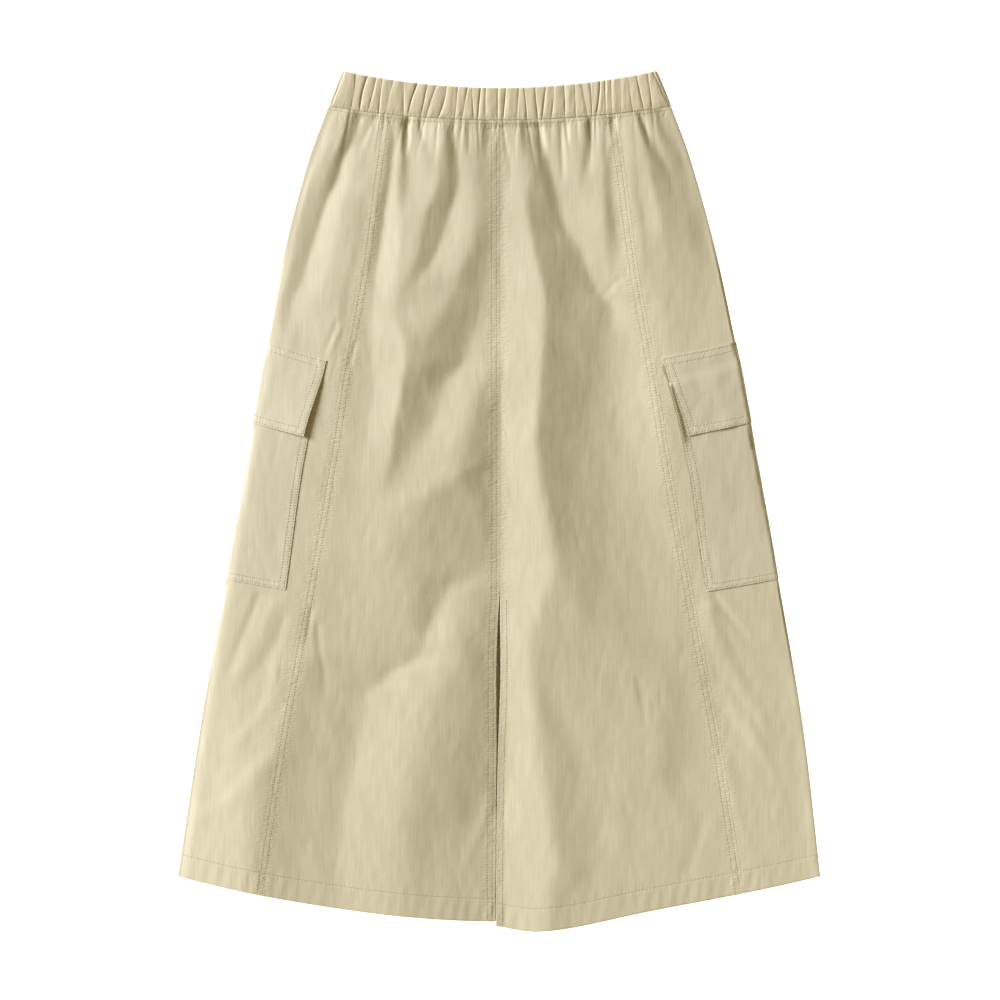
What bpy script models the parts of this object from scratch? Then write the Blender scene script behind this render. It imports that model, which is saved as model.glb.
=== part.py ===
"""A cargo skirt with a gathered elastic waist, laid flat on its back.

Every piece that is cut and sewn is an object of its own: a waistband, two front panels that part
at a slit, two side panels that wrap round the side folds, one back panel, and a pocket and a flap
on each side. X runs across the skirt, +Y points to the waist, +Z is up, and the underside lies on
z = 0. A place across the skirt is its distance from the centre line, and a place down the skirt is
measured along the side fold from the waist seam.
"""

import math

import bmesh
import bpy
from mathutils import Vector

MM = 0.001

# Walls and gaps
CLOTH = 1.2 * MM  # panels and pockets
FLAP_CLOTH = 1.4 * MM  # a flap is two layers
BAND_WALL = 2.6 * MM  # two layers with the elastic between them
SEAM_GAP = 0.3 * MM  # between pieces that are sewn together
LAID_GAP = 0.35 * MM  # between a pocket or flap and what it lies on
LAYER_GAP = 0.6 * MM  # between the front and the back where they lie on each other

# Waistband
BAND_TOP_Y = 430 * MM  # at the side folds
BAND_TOP_HALF = 157 * MM
BAND_TOP_SAG = 17 * MM
BAND_FOLD_RADIUS = 3.3 * MM

# Creases between the waistband's puffs: where each crosses the top edge and the waist seam, in
# millimetres from the centre line, and how deep it is, as a share of the deepest.
CREASES = (
    # top, bottom, depth
    (-143, -148, 1.0),
    (-131, -139, 1.0),
    (-122, -131, 0.4),
    (-116, -120, 1.0),
    (-105, -114, 0.3),
    (-95, -95, 0.7),
    (-81, -91, 1.0),
    (-71, -78, 0.5),
    (-62, -73, 0.8),
    (-52, -61, 0.7),
    (-41, -44, 1.0),
    (-31, -37, 0.9),
    (-27, -25, 0.6),
    (-18, -21, 0.9),
    (-13, -13, 0.5),
    (-1, -1, 0.5),
    (7, 4, 0.9),
    (20, 18, 0.5),
    (25, 28, 1.0),
    (36, 39, 1.0),
    (47, 43, 0.7),
    (55, 52, 0.6),
    (65, 66, 0.8),
    (76, 77, 0.6),
    (82, 89, 0.6),
    (91, 93, 0.9),
    (101, 97, 0.8),
    (106, 107, 1.0),
    (112, 113, 0.4),
    (121, 122, 0.3),
    (129, 134, 0.5),
    (137, 145, 0.6),
    (148, 153, 1.0),
)
CREASE_DEPTH = 1.5 * MM
PUFF_HEIGHT = 1.3 * MM  # of a puff as wide as the next value, or wider
PUFF_WIDTH = 10 * MM
PUFF_STEPS = 4

# The skirt from the waist seam to the hem. Down is the distance along the side fold, left and
# right are the half widths, sag is how far the middle hangs below the sides, power is the shape of
# that curve, seam is the panel seam, and the pocket columns are the front edges of the pockets.
SECTION_COLUMNS = ("down", "left", "right", "sag", "power", "seam", "left_pocket", "right_pocket")
SECTIONS = (
    (0, 171, 172, 14, 2.00, 118, 145, 146),
    (52, 190, 191, 22, 2.10, 126, 152, 152),
    (142, 214, 216, 34, 2.05, 139, 162, 164),
    (235, 232, 236, 42, 2.00, 156, 172, 173),
    (316, 246, 251, 40, 1.80, 168, 194, 191),
    (472, 273, 279, 32, 1.65, 194, 216, 208),
    (622, 299, 304, 38, 1.70, 222, 238, 236),
    (769, 321, 321, 45, 1.75, 245, 262, 262),
)
WAIST_SEAM_Y = 394 * MM  # at the side folds

# Pockets and flaps, down the side fold
FLAP_TOP = 235 * MM
POCKET_TOP = 255 * MM
FLAP_BOTTOM = 316 * MM
POCKET_BOTTOM = 472 * MM
HEM = 769 * MM
POCKET_WIDTH = 120 * MM  # round the side fold, front and back together
FLAP_LIFT = 2.5 * MM  # its loose front corner stands off the pocket
FLAP_LIFT_COLUMNS = 3  # of the front ones
LIFT_MARGIN = 15 * MM  # over which a panel comes down again above and below a pocket
LIFT_MARGIN_ACROSS = 9 * MM  # and beside it

# Slit in the front: how far each edge stands from the centre line, down the skirt
SLIT_COLUMNS = ("down", "left_edge", "right_edge")
SLIT = (
    (0, -0.15, 0.15),
    (448, -0.15, 0.15),
    (500, -1.0, 1.2),
    (560, -2.2, 1.4),
    (620, -2.8, -1.4),
    (769, -3.2, -2.4),
)
RIGHT_DROP = 11 * MM  # the right front hangs this much lower than the left, a little off the slit
RIGHT_DROP_AT = 41 * MM
RIGHT_DROP_INWARD = 46 * MM  # how far that reaches towards the slit
RIGHT_DROP_OUTWARD = 82 * MM  # and towards the panel seam
RIGHT_DROP_FROM = 480 * MM

# Height of the front's outer face over the underside, where no fold lifts it
LAID_HEIGHT = 2 * CLOTH + LAYER_GAP
LEAST_HEIGHT = 2 * CLOTH + SEAM_GAP  # in the deepest troughs
WAIST_HEIGHT = 6.0 * MM
WAIST_FADE = 90 * MM
SIDE_FOLD_RADIUS = 2.0 * MM
WAIST_FOLD_RADIUS = 2.9 * MM
SIDE_ROLL = 30 * MM  # how far the roundness of the side fold reaches in
FOLD_CLEARANCE = 6 * MM  # over which the front's folds rise beside the side fold

# Small waves under the waist seam
GATHERS = 22  # on the front
GATHER_HEIGHT = 0.9 * MM
GATHER_RISE = 20 * MM
GATHER_FADE = 60 * MM
GATHER_DRIFT = 0.4  # how far their spacing wanders, in waves
GATHER_DRIFT_TURNS = 7  # and how fast

# Raised folds in the front: a path down each crest, the widths of its left and right flanks and
# its height, all in millimetres
FOLDS = (
    # name, path, left, right, height
    ("left edge roll", ((-154, 389), (-177, 341), (-199, 286), (-214, 231), (-224, 171)), 16, 22, 3.2),
    ("left seam swell", ((-137, 366), (-143, 301), (-153, 241), (-163, 176)), 28, 24, 3.0),
    ("left long ridge", ((-101, 373), (-99, 301), (-96, 211), (-95, 151), (-101, 86), (-125, 11)), 20, 28, 3.7),
    ("left inner ridge", ((-29, 361), (-25, 306), (-37, 251), (-65, 206), (-87, 156)), 24, 30, 3.5),
    ("left centre swell", ((-11, 156), (-25, 91), (-37, 31), (-37, -29), (-23, -64)), 42, 20, 3.2),
    ("left skirt fold", ((-7, -79), (-29, -129), (-49, -189), (-65, -259), (-75, -414)), 34, 44, 3.7),
    ("left middle swell", ((-107, -19), (-95, -79), (-87, -129), (-91, -179)), 40, 26, 2.6),
    ("left seam ridge", ((-196, -134), (-209, -199), (-237, -329), (-244, -389)), 20, 26, 2.2),
    ("left side diagonal", ((-211, -101), (-247, -154), (-285, -214)), 18, 18, 1.8),
    ("left low diagonal", ((-215, -199), (-254, -249), (-294, -304)), 16, 16, 1.6),
    ("right centre ridge", ((17, 373), (27, 311), (41, 171), (38, 101), (53, -19), (89, -149)), 30, 46, 3.7),
    ("right outer ridge", ((67, 366), (97, 261), (125, 161), (127, 81), (129, 1), (143, -139)), 24, 42, 3.0),
    ("right gather ridge", ((131, 385), (146, 336), (165, 286), (175, 251)), 16, 12, 3.3),
    ("right edge roll", ((153, 385), (171, 346), (191, 296), (205, 246), (215, 201)), 14, 14, 2.8),
    ("right skirt fold", ((23, -74), (33, -139), (50, -259), (57, -329), (61, -424)), 36, 28, 3.7),
    ("right low swell", ((81, -139), (103, -189), (123, -244), (141, -304), (151, -389)), 34, 36, 2.8),
    ("right side diagonal", ((209, -95), (253, -169), (293, -244)), 18, 18, 1.8),
    ("right low diagonal", ((203, -179), (246, -244), (286, -314)), 16, 16, 1.6),
)
FOLD_BLEND = 3  # how sharply one fold takes over from the next where they meet

# Troughs that run down from the gathered waist, with their depth in place of the height
TROUGHS = (
    # name, path, left, right, depth
    ("left side", ((-144, 391), (-157, 349), (-177, 313), (-196, 276)), 12, 14, 2.5),
    ("left deep", ((-94, 384), (-94, 362), (-94, 338), (-96, 316)), 6, 6, 2.8),
    ("left seam", ((-107, 368), (-113, 326), (-119, 281), (-122, 246)), 8, 8, 2.0),
    ("left short", ((-79, 376), (-75, 349)), 7, 7, 1.5),
    ("left long", ((-49, 378), (-52, 352), (-47, 326), (-49, 300), (-60, 270), (-72, 244)), 10, 9, 2.8),
    ("left inner", ((-27, 378), (-36, 352)), 7, 7, 1.4),
    ("right inner", ((7, 352), (12, 335), (7, 316)), 5, 5, 1.2),
    ("right long", ((29, 378), (33, 358), (42, 341), (49, 321), (53, 301), (58, 272)), 10, 8, 2.8),
    ("right short", ((67, 376), (72, 351)), 7, 7, 1.2),
    ("right middle", ((94, 384), (89, 351), (84, 311)), 8, 8, 2.2),
    ("right seam", ((108, 341), (111, 281), (113, 231)), 8, 8, 1.8),
    ("right side", ((139, 389), (151, 361), (161, 336), (174, 304)), 12, 12, 2.4),
    ("right side short", ((156, 385), (170, 354)), 9, 9, 1.2),
)

# Rows down the skirt: where each stretch ends, and how many rows of faces it has
ROW_STRETCHES = (
    (FLAP_TOP - LIFT_MARGIN, 11),
    (FLAP_TOP, 1),
    (POCKET_TOP, 1),
    (FLAP_BOTTOM, 2),
    (FLAP_BOTTOM + LIFT_MARGIN, 1),
    (POCKET_BOTTOM, 4),
    (POCKET_BOTTOM + LIFT_MARGIN, 1),
    (HEM, 7),
)
FRONT_COLUMNS = 28
BACK_COLUMNS = 8
SIDE_COLUMNS = {"front": 4, "front pocket": 5, "fold": 6, "back pocket": 3, "back": 2}
BAND_ROWS = 4
BAND_BACK_COLUMNS = 30

# Shades of the same khaki, as linear red, green and blue
KHAKI = {
    "waistband": (0.54, 0.46, 0.29),
    "front": (0.62, 0.55, 0.37),
    "side": (0.65, 0.57, 0.39),
    "back": (0.62, 0.55, 0.37),
    "pocket": (0.64, 0.56, 0.38),
    "flap": (0.65, 0.58, 0.41),
}
ROUGHNESS = 0.85


def smooth(t):
    """0 below 0 and 1 above 1, with an eased step between."""
    t = min(max(t, 0.0), 1.0)
    return t * t * (3 - 2 * t)


def table_value(rows, columns, name, at):
    """The named column of a table at that place in its first column, on a smooth curve."""
    column = columns.index(name)
    places = [row[0] * MM for row in rows]
    values = [row[column] for row in rows]
    at = min(max(at, places[0]), places[-1])
    i = max(k for k in range(len(rows) - 1) if places[k] <= at)
    span = places[i + 1] - places[i]
    before, after = max(i - 1, 0), min(i + 2, len(rows) - 1)
    slope_in = (values[i + 1] - values[before]) / (places[i + 1] - places[before])
    slope_out = (values[after] - values[i]) / (places[after] - places[i])
    t = (at - places[i]) / span
    return (
        values[i] * (1 + 2 * t) * (1 - t) ** 2
        + values[i + 1] * t * t * (3 - 2 * t)
        + span * t * (1 - t) * (slope_in * (1 - t) - slope_out * t)
    )


def section(name, down):
    value = table_value(SECTIONS, SECTION_COLUMNS, name, down)
    return value if name == "power" else value * MM


def half_width(side, down):
    return section("left" if side < 0 else "right", down)


def row_y(x, down):
    """Y of the row that meets the side fold at that distance down, where it crosses x."""
    share = min(abs(x) / half_width(math.copysign(1, x), down), 1.0)
    return WAIST_SEAM_Y - down - section("sag", down) * (1 - share ** section("power", down))


def right_drop(x, down):
    reach = RIGHT_DROP_INWARD if x < RIGHT_DROP_AT else RIGHT_DROP_OUTWARD
    beside_slit = math.exp(-(((x - RIGHT_DROP_AT) / reach) ** 2))
    return RIGHT_DROP * beside_slit * smooth((down - RIGHT_DROP_FROM) / (HEM - RIGHT_DROP_FROM))


def pocket_back_edge(side, down):
    """How far from the centre line a pocket ends on the back, always on the side panel."""
    front_edge = section("left_pocket" if side < 0 else "right_pocket", down)
    back_edge = 2 * half_width(side, down) - POCKET_WIDTH - front_edge
    return max(back_edge, section("seam", down) + LIFT_MARGIN_ACROSS)


def pocket_rise(down, inside):
    """How far the pocket lifts what lies over it. Inside is how far within its edge a place is."""
    along = smooth(1 - (POCKET_TOP - down) / LIFT_MARGIN) * smooth(1 - (down - POCKET_BOTTOM) / LIFT_MARGIN)
    return (LAID_GAP + CLOTH) * along * smooth(1 + inside / LIFT_MARGIN_ACROSS)


def flap_rise(down, inside):
    along = smooth(1 - (FLAP_TOP - down) / LIFT_MARGIN) * smooth(1 - (down - FLAP_BOTTOM) / LIFT_MARGIN)
    return (LAID_GAP + FLAP_CLOTH) * along * smooth(1 + inside / LIFT_MARGIN_ACROSS)


def back_lift(x, down):
    """How far the back is lifted by the parts of the pocket and flap that lie under it."""
    side = math.copysign(1, x)
    inside = abs(x) - pocket_back_edge(side, down)
    return pocket_rise(down, inside) + flap_rise(down, inside)


def fold_radius(down):
    return SIDE_FOLD_RADIUS + (WAIST_FOLD_RADIUS - SIDE_FOLD_RADIUS) * (1 - smooth(down / WAIST_FADE))


def along_path(path, x, y):
    """(distance from a fold's path, 1 on its right or -1 on its left)."""
    best, side = math.inf, 1
    for (x0, y0), (x1, y1) in zip(path, path[1:]):
        run, rise = (x1 - x0) * MM, (y1 - y0) * MM
        to_x, to_y = x - x0 * MM, y - y0 * MM
        t = min(max((to_x * run + to_y * rise) / (run * run + rise * rise), 0.0), 1.0)
        away = math.hypot(to_x - t * run, to_y - t * rise)
        if away < best:
            best, side = away, math.copysign(1, run * to_y - rise * to_x)
    return best, side


def relief(folds, x, y):
    """The height at a point of folds that are each a raised cosine across their path."""
    total = 0.0
    for _, path, left, right, height in folds:
        away, side = along_path(path, x, y)
        share = away / ((left if side < 0 else right) * MM)
        if share < 1:
            total += (height * (0.5 + 0.5 * math.cos(math.pi * share))) ** FOLD_BLEND
    return MM * total ** (1 / FOLD_BLEND)


def gathers_height(x, down):
    """Small waves below the waist seam, uneven in width, that fade down the skirt."""
    share = x / half_width(math.copysign(1, x), down)
    phase = GATHERS * share / 2 + GATHER_DRIFT * math.sin(GATHER_DRIFT_TURNS * share)
    wave = 0.5 - 0.5 * math.cos(2 * math.pi * phase)
    return GATHER_HEIGHT * wave * smooth(down / GATHER_RISE) * (1 - smooth(down / GATHER_FADE))


def front_height(x, y, down):
    """Z of the front's outer face."""
    side = math.copysign(1, x)
    from_fold = half_width(side, down) - abs(x)
    inner = smooth((from_fold - fold_radius(down)) / SIDE_ROLL)
    flat = LAID_HEIGHT + (WAIST_HEIGHT - LAID_HEIGHT) * (1 - smooth(down / WAIST_FADE))
    rest = 2 * fold_radius(down) * (1 - inner) + flat * inner
    folds = relief(FOLDS, x, y) - relief(TROUGHS, x, y) + gathers_height(x, down)
    folds *= smooth((from_fold - fold_radius(down)) / FOLD_CLEARANCE)
    return back_lift(x, down) + max(rest + folds, LEAST_HEIGHT)


def front_point(x, down):
    y = row_y(x, down)
    return Vector((x, y, front_height(x, y, down)))


def back_point(x, down):
    return Vector((x, row_y(x, down), back_lift(x, down)))


def fold_point(side, turn, down):
    """On the side fold: turn is 90 degrees at its top, 0 at its outermost line and -90 below."""
    radius = fold_radius(down)
    edge = half_width(side, down)
    x = side * (edge - radius + radius * math.cos(turn))
    lift = back_lift(side * (edge - radius), down)
    return Vector((x, row_y(x, down), lift + radius + radius * math.sin(turn)))


def side_column(side, column, down):
    """Point of a side panel, whose columns run from the front seam over the fold to the back seam."""
    seam = section("seam", down) + SEAM_GAP / 2
    edge = half_width(side, down) - fold_radius(down)
    pocket = section("left_pocket" if side < 0 else "right_pocket", down)
    stops = (seam, pocket, edge)
    for name, start, end in (("front", stops[0], stops[1]), ("front pocket", stops[1], stops[2])):
        count = SIDE_COLUMNS[name]
        if column <= count:
            return front_point(side * (start + (end - start) * column / count), down)
        column -= count
    if column <= SIDE_COLUMNS["fold"]:
        return fold_point(side, math.pi / 2 - math.pi * column / SIDE_COLUMNS["fold"], down)
    column -= SIDE_COLUMNS["fold"]
    back_edge = pocket_back_edge(side, down)
    if column <= SIDE_COLUMNS["back pocket"]:
        x = edge + (back_edge - edge) * column / SIDE_COLUMNS["back pocket"]
        return back_point(side * x, down)
    column -= SIDE_COLUMNS["back pocket"]
    return back_point(side * (back_edge + (seam - back_edge) * column / SIDE_COLUMNS["back"]), down)


def skirt_rows():
    """Distances down the skirt of the rows that every panel shares."""
    rows = [0.5 * SEAM_GAP]
    for end, count in ROW_STRETCHES:
        start = rows[-1]
        rows += [start + (end - start) * (i + 1) / count for i in range(count)]
    return rows


def moved_out(grid, distances):
    """A grid of points moved out along its normals, which point out where columns run clockwise."""
    last_row, last_column = len(grid) - 1, len(grid[0]) - 1
    out = []
    for r, row in enumerate(grid):
        moved = []
        for c, point in enumerate(row):
            across = row[min(c + 1, last_column)] - row[max(c - 1, 0)]
            down = grid[min(r + 1, last_row)][c] - grid[max(r - 1, 0)][c]
            normal = down.cross(across).normalized()
            moved.append(point + normal * distances[r][c])
        out.append(moved)
    return out


def cloth(name, grid, thickness, collection, closed=False):
    """A wall of cloth whose outer face goes through the grid's points, row by row from the top."""
    rows, columns = len(grid) - 1, len(grid[0]) - 1
    mesh = bpy.data.meshes.new(name)
    obj = bpy.data.objects.new(name, mesh)
    collection.objects.link(obj)
    net = bmesh.new()
    bmesh.ops.create_grid(net, x_segments=columns, y_segments=rows, size=0.5)
    for vertex in net.verts:
        column = round((vertex.co.x + 0.5) * columns)
        row = round((0.5 - vertex.co.y) * rows)
        vertex.co = grid[row][column]
    if closed:
        bmesh.ops.remove_doubles(net, verts=net.verts, dist=0.01 * MM)
    net.to_mesh(mesh)
    net.free()
    mesh.shade_smooth()
    mesh.materials.append(cloth_material(name))
    wall = obj.modifiers.new("Cloth wall", "SOLIDIFY")
    wall.thickness = thickness
    wall.offset = -1
    wall.use_even_offset = False
    wall.use_quality_normals = True
    return obj


def band_y(x, share):
    """Y of the waistband across x, where share is 0 at the top edge and 1 at the waist seam."""
    sag = BAND_TOP_SAG + (section("sag", 0) - BAND_TOP_SAG) * share
    side_y = BAND_TOP_Y + (WAIST_SEAM_Y + SEAM_GAP / 2 - BAND_TOP_Y) * share
    across = min(abs(x) / band_half(math.copysign(1, x), share), 1.0)
    return side_y - sag * (1 - across ** section("power", 0))


def band_half(side, share):
    return BAND_TOP_HALF + (half_width(side, 0) - BAND_TOP_HALF) * share


def band_radius(share):
    return BAND_FOLD_RADIUS + (WAIST_FOLD_RADIUS - BAND_FOLD_RADIUS) * share


def band_front(share):
    """A row of the waistband's front: puffs that stand up between the creases."""
    stops = [(-(band_half(-1, share) - band_radius(share)), 1.0)]
    stops += [((top + (bottom - top) * share) * MM, depth) for top, bottom, depth in CREASES]
    stops.append((band_half(1, share) - band_radius(share), 1.0))
    row = []
    for (start, depth), (end, next_depth) in zip(stops, stops[1:]):
        puff = PUFF_HEIGHT * min((end - start) / PUFF_WIDTH, 1.0)
        for i in range(PUFF_STEPS):
            t = i / PUFF_STEPS
            x = start + (end - start) * t
            crease = CREASE_DEPTH * (depth + (next_depth - depth) * t) * abs(1 - 2 * t)
            z = 2 * band_radius(share) + puff * math.sin(math.pi * t) + CREASE_DEPTH - crease
            row.append(Vector((x, band_y(x, share), z)))
    return row


def band_fold(side, share):
    """A row's half turn round a side fold, from the front down to the back on the right side and
    from the back up to the front on the left."""
    radius = band_radius(share)
    row = []
    for i in range(SIDE_COLUMNS["fold"]):
        turn = side * math.pi * (0.5 - i / SIDE_COLUMNS["fold"])
        x = side * (band_half(side, share) - radius + radius * math.cos(turn))
        row.append(Vector((x, band_y(x, share), radius + radius * math.sin(turn))))
    return row


def band_back(share):
    right = band_half(1, share) - band_radius(share)
    left = -(band_half(-1, share) - band_radius(share))
    places = [right + (left - right) * i / BAND_BACK_COLUMNS for i in range(BAND_BACK_COLUMNS)]
    return [Vector((x, band_y(x, share), 0)) for x in places]


def waistband(collection):
    grid = []
    for i in range(BAND_ROWS + 1):
        share = i / BAND_ROWS
        row = band_front(share) + band_fold(1, share) + band_back(share) + band_fold(-1, share)
        grid.append(row + [row[0].copy()])
    return cloth("waistband", grid, BAND_WALL, collection, closed=True)


def front_panel(name, side, rows, collection):
    """A front panel, from its slit edge to the panel seam."""
    edge_column = "left_edge" if side < 0 else "right_edge"
    grid = []
    for down in rows:
        inner = table_value(SLIT, SLIT_COLUMNS, edge_column, down) * MM
        outer = side * (section("seam", down) - SEAM_GAP / 2)
        start, end = (outer, inner) if side < 0 else (inner, outer)
        places = [start + (end - start) * i / FRONT_COLUMNS for i in range(FRONT_COLUMNS + 1)]
        grid.append([front_point(x, down) for x in places])
        if side > 0:
            for point in grid[-1]:
                point.y -= right_drop(point.x, down)
    return cloth(name, grid, CLOTH, collection)


def back_panel(rows, collection):
    grid = []
    for down in rows:
        edge = section("seam", down) - SEAM_GAP / 2
        grid.append([back_point(edge * (1 - 2 * i / BACK_COLUMNS), down) for i in range(BACK_COLUMNS + 1)])
    return cloth("back", grid, CLOTH, collection)


def side_grid(side, rows):
    columns = sum(SIDE_COLUMNS.values())
    order = range(columns + 1) if side > 0 else range(columns, -1, -1)
    return [[side_column(side, column, down) for column in order] for down in rows]


def laid_on(name, side, rows, panel, top, bottom, thickness, rise, collection):
    """A pocket or flap: the part of a side panel's grid that it covers, moved out. Rise is how far
    it stands off beyond that, from the distance down and the columns from its front edge."""
    first, last = SIDE_COLUMNS["front"], sum(SIDE_COLUMNS.values()) - SIDE_COLUMNS["back"]
    columns = range(len(panel[0]))
    from_front = [column - first for column in columns]
    if side < 0:
        first, last = len(panel[0]) - 1 - last, len(panel[0]) - 1 - first
        from_front = [last - column for column in columns]
    distances = [[LAID_GAP + thickness + rise(down, n) for n in from_front] for down in rows]
    out = moved_out(panel, distances)
    kept = [i for i, down in enumerate(rows) if top - 0.1 * MM < down < bottom + 0.1 * MM]
    grid = [out[i][first : last + 1] for i in kept]
    for row in grid:
        for point in row:
            point.z = max(point.z, 0.0)
    return cloth(name, grid, thickness, collection)


def pocket_stand_off(down, from_front):
    return 0.0


def flap_stand_off(down, from_front):
    """A flap lies on the pocket, and its loose front corner lifts."""
    loose = smooth((down - FLAP_TOP) / (FLAP_BOTTOM - FLAP_TOP))
    near_corner = smooth(1 - max(from_front, 0) / FLAP_LIFT_COLUMNS)
    return pocket_rise(down, 0.0) + FLAP_LIFT * loose * near_corner


def cloth_material(name):
    """The khaki cloth of one piece, in its own shade."""
    material = bpy.data.materials.new(f"{name} cloth")
    material.use_nodes = True
    shader = material.node_tree.nodes["Principled BSDF"]
    colour = (*KHAKI[name.split("_")[0]], 1.0)
    shader.inputs["Base Color"].default_value = colour
    shader.inputs["Roughness"].default_value = ROUGHNESS
    shader.inputs["Metallic"].default_value = 0.0
    material.diffuse_color = colour
    return material


def main():
    for obj in list(bpy.data.objects):
        bpy.data.objects.remove(obj)
    collection = bpy.data.collections.new("cargo skirt")
    bpy.context.scene.collection.children.link(collection)
    rows = skirt_rows()
    waistband(collection)
    front_panel("front_left", -1, rows, collection)
    front_panel("front_right", 1, rows, collection)
    back_panel(rows, collection)
    for side, word in ((-1, "left"), (1, "right")):
        panel = side_grid(side, rows)
        cloth(f"side_{word}", panel, CLOTH, collection)
        pocket = (POCKET_TOP, POCKET_BOTTOM, CLOTH, pocket_stand_off)
        flap = (FLAP_TOP, FLAP_BOTTOM, FLAP_CLOTH, flap_stand_off)
        laid_on(f"pocket_{word}", side, rows, panel, *pocket, collection)
        laid_on(f"flap_{word}", side, rows, panel, *flap, collection)


main()
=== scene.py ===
import math

import bpy
import numpy as np
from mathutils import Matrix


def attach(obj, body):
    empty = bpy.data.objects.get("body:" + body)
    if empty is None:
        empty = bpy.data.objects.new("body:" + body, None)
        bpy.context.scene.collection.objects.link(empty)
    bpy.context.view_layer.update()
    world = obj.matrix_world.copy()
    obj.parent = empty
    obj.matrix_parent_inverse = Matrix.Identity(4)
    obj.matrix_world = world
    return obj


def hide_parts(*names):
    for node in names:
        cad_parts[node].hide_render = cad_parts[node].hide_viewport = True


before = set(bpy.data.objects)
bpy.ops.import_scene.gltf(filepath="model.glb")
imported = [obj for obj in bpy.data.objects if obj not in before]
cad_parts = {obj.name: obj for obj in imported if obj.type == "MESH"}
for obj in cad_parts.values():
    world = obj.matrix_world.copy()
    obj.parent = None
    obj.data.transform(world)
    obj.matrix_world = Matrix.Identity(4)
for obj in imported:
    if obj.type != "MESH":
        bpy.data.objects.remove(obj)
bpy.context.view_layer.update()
print("cargo skirt: the packed frame is in", flush=True)

# Every size below is in millimetres; meshes are put in as metres. X runs across the skirt, +Y points
# to the waist, +Z is up, and "down" is the distance down the side fold from the waist seam.

# The cut, a row for each place down the skirt
cutColumns = ("down", "left", "right", "sag", "power", "seam", "leftPocket", "rightPocket")
cutRows = (
    (0, 171, 172, 14, 2.00, 118, 145, 146),
    (52, 190, 191, 22, 2.10, 126, 152, 152),
    (142, 214, 216, 34, 2.05, 139, 162, 164),
    (235, 232, 236, 42, 2.00, 156, 172, 173),
    (316, 246, 251, 40, 1.80, 168, 194, 191),
    (472, 273, 279, 32, 1.65, 194, 216, 208),
    (622, 299, 304, 38, 1.70, 222, 238, 236),
    (769, 321, 321, 45, 1.75, 245, 262, 262),
)
slitColumns = ("down", "leftEdge", "rightEdge")
slitRows = (
    (0, 0.75, 1.05),
    (448, 0.75, 1.05),
    (478, -0.9, 0.9),
    (500, -2.0, 1.3),
    (532, -2.8, 1.5),
    (565, -2.7, 0.5),
    (600, -2.5, -0.9),
    (673, -3.1, -2.5),
    (769, -3.7, -3.1),
)
body = {
    "waistSeamY": 394, "hem": 769, "flapTop": 235, "pocketTop": 255, "flapBottom": 316,
    "pocketBottom": 472, "pocketWidth": 120, "slitTop": 452,
    "cloth": 1.0, "solidCloth": 1.2, "solidFlap": 1.4, "gap": 0.06, "laidGap": 0.35,
    "laidHeight": 4.0, "leastHeight": 2.7, "waistHeight": 6.0, "waistFade": 90,
    "sideRadius": 2.0, "waistRadius": 2.9, "sideRoll": 30, "foldClearance": 6,
    "liftMargin": 15, "liftMarginAcross": 9, "liftSpread": 8, "squareness": 0.4,
    "drop": 11, "dropAt": 41, "dropInward": 46, "dropOutward": 82, "dropFrom": 480,
    "underside": 0.4, "softFloor": 0.35,
}


def ease(t):  # 0 below 0, 1 above 1, and 3t squared less 2t cubed between
    t = np.clip(t, 0.0, 1.0)
    return t * t * (3 - 2 * t)


def softRamp(v, soft):  # 0 below 0 and v above it, rounded: soft times the log of 1 plus e to v over soft
    return soft * np.logaddexp(0, v / soft)


def curveThrough(places, values, at):  # a cubic through each point with its neighbours' slope
    places, values = np.asarray(places, float), np.asarray(values, float)
    at = np.clip(at, places[0], places[-1])
    i = np.clip(np.searchsorted(places, at, side="right") - 1, 0, len(places) - 2)
    slopes = np.empty_like(values)
    slopes[1:-1] = (values[2:] - values[:-2]) / (places[2:] - places[:-2])
    slopes[0] = (values[1] - values[0]) / (places[1] - places[0])
    slopes[-1] = (values[-1] - values[-2]) / (places[-1] - places[-2])
    span = places[i + 1] - places[i]
    t = (at - places[i]) / span
    ends = values[i] * (1 + 2 * t) * (1 - t) ** 2 + values[i + 1] * t * t * (3 - 2 * t)
    return ends + span * t * (1 - t) * (slopes[i] * (1 - t) - slopes[i + 1] * t)


def cut(name, down):  # one column of the cut at each place down the skirt
    column = cutColumns.index(name)
    return curveThrough([row[0] for row in cutRows], [row[column] for row in cutRows], down)


def halfAt(side, down):  # from the middle to the side fold
    return cut("left" if side < 0 else "right", down)


def halfWidth(x, down):  # the same, by the side that x is on
    return np.where(x < 0, halfAt(-1, down), halfAt(1, down))


def pocketFront(side, down):  # from the middle to a solid pocket's front edge
    return cut("leftPocket" if side < 0 else "rightPocket", down)


def rowY(x, down):  # a row hangs below its ends by sag times one less the share across to a power
    share = np.minimum(abs(x) / halfWidth(x, down), 1.0)
    return body["waistSeamY"] - down - cut("sag", down) * (1 - share ** cut("power", down))


def slitEdge(side, down):  # x of an edge of the slit, and of the centre seam above it
    column = slitColumns.index("leftEdge" if side < 0 else "rightEdge")
    return curveThrough([row[0] for row in slitRows], [row[column] for row in slitRows], down)


def rightDrop(x, down):  # a bell across, eased in down the skirt
    reach = np.where(x < body["dropAt"], body["dropInward"], body["dropOutward"])
    bell = np.exp(-(((x - body["dropAt"]) / reach) ** 2))
    return body["drop"] * bell * ease((down - body["dropFrom"]) / (body["hem"] - body["dropFrom"]))


def foldRadius(down):  # the waist's radius, eased to the side's
    gain = body["waistRadius"] - body["sideRadius"]
    return body["sideRadius"] + gain * (1 - ease(down / body["waistFade"]))


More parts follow.
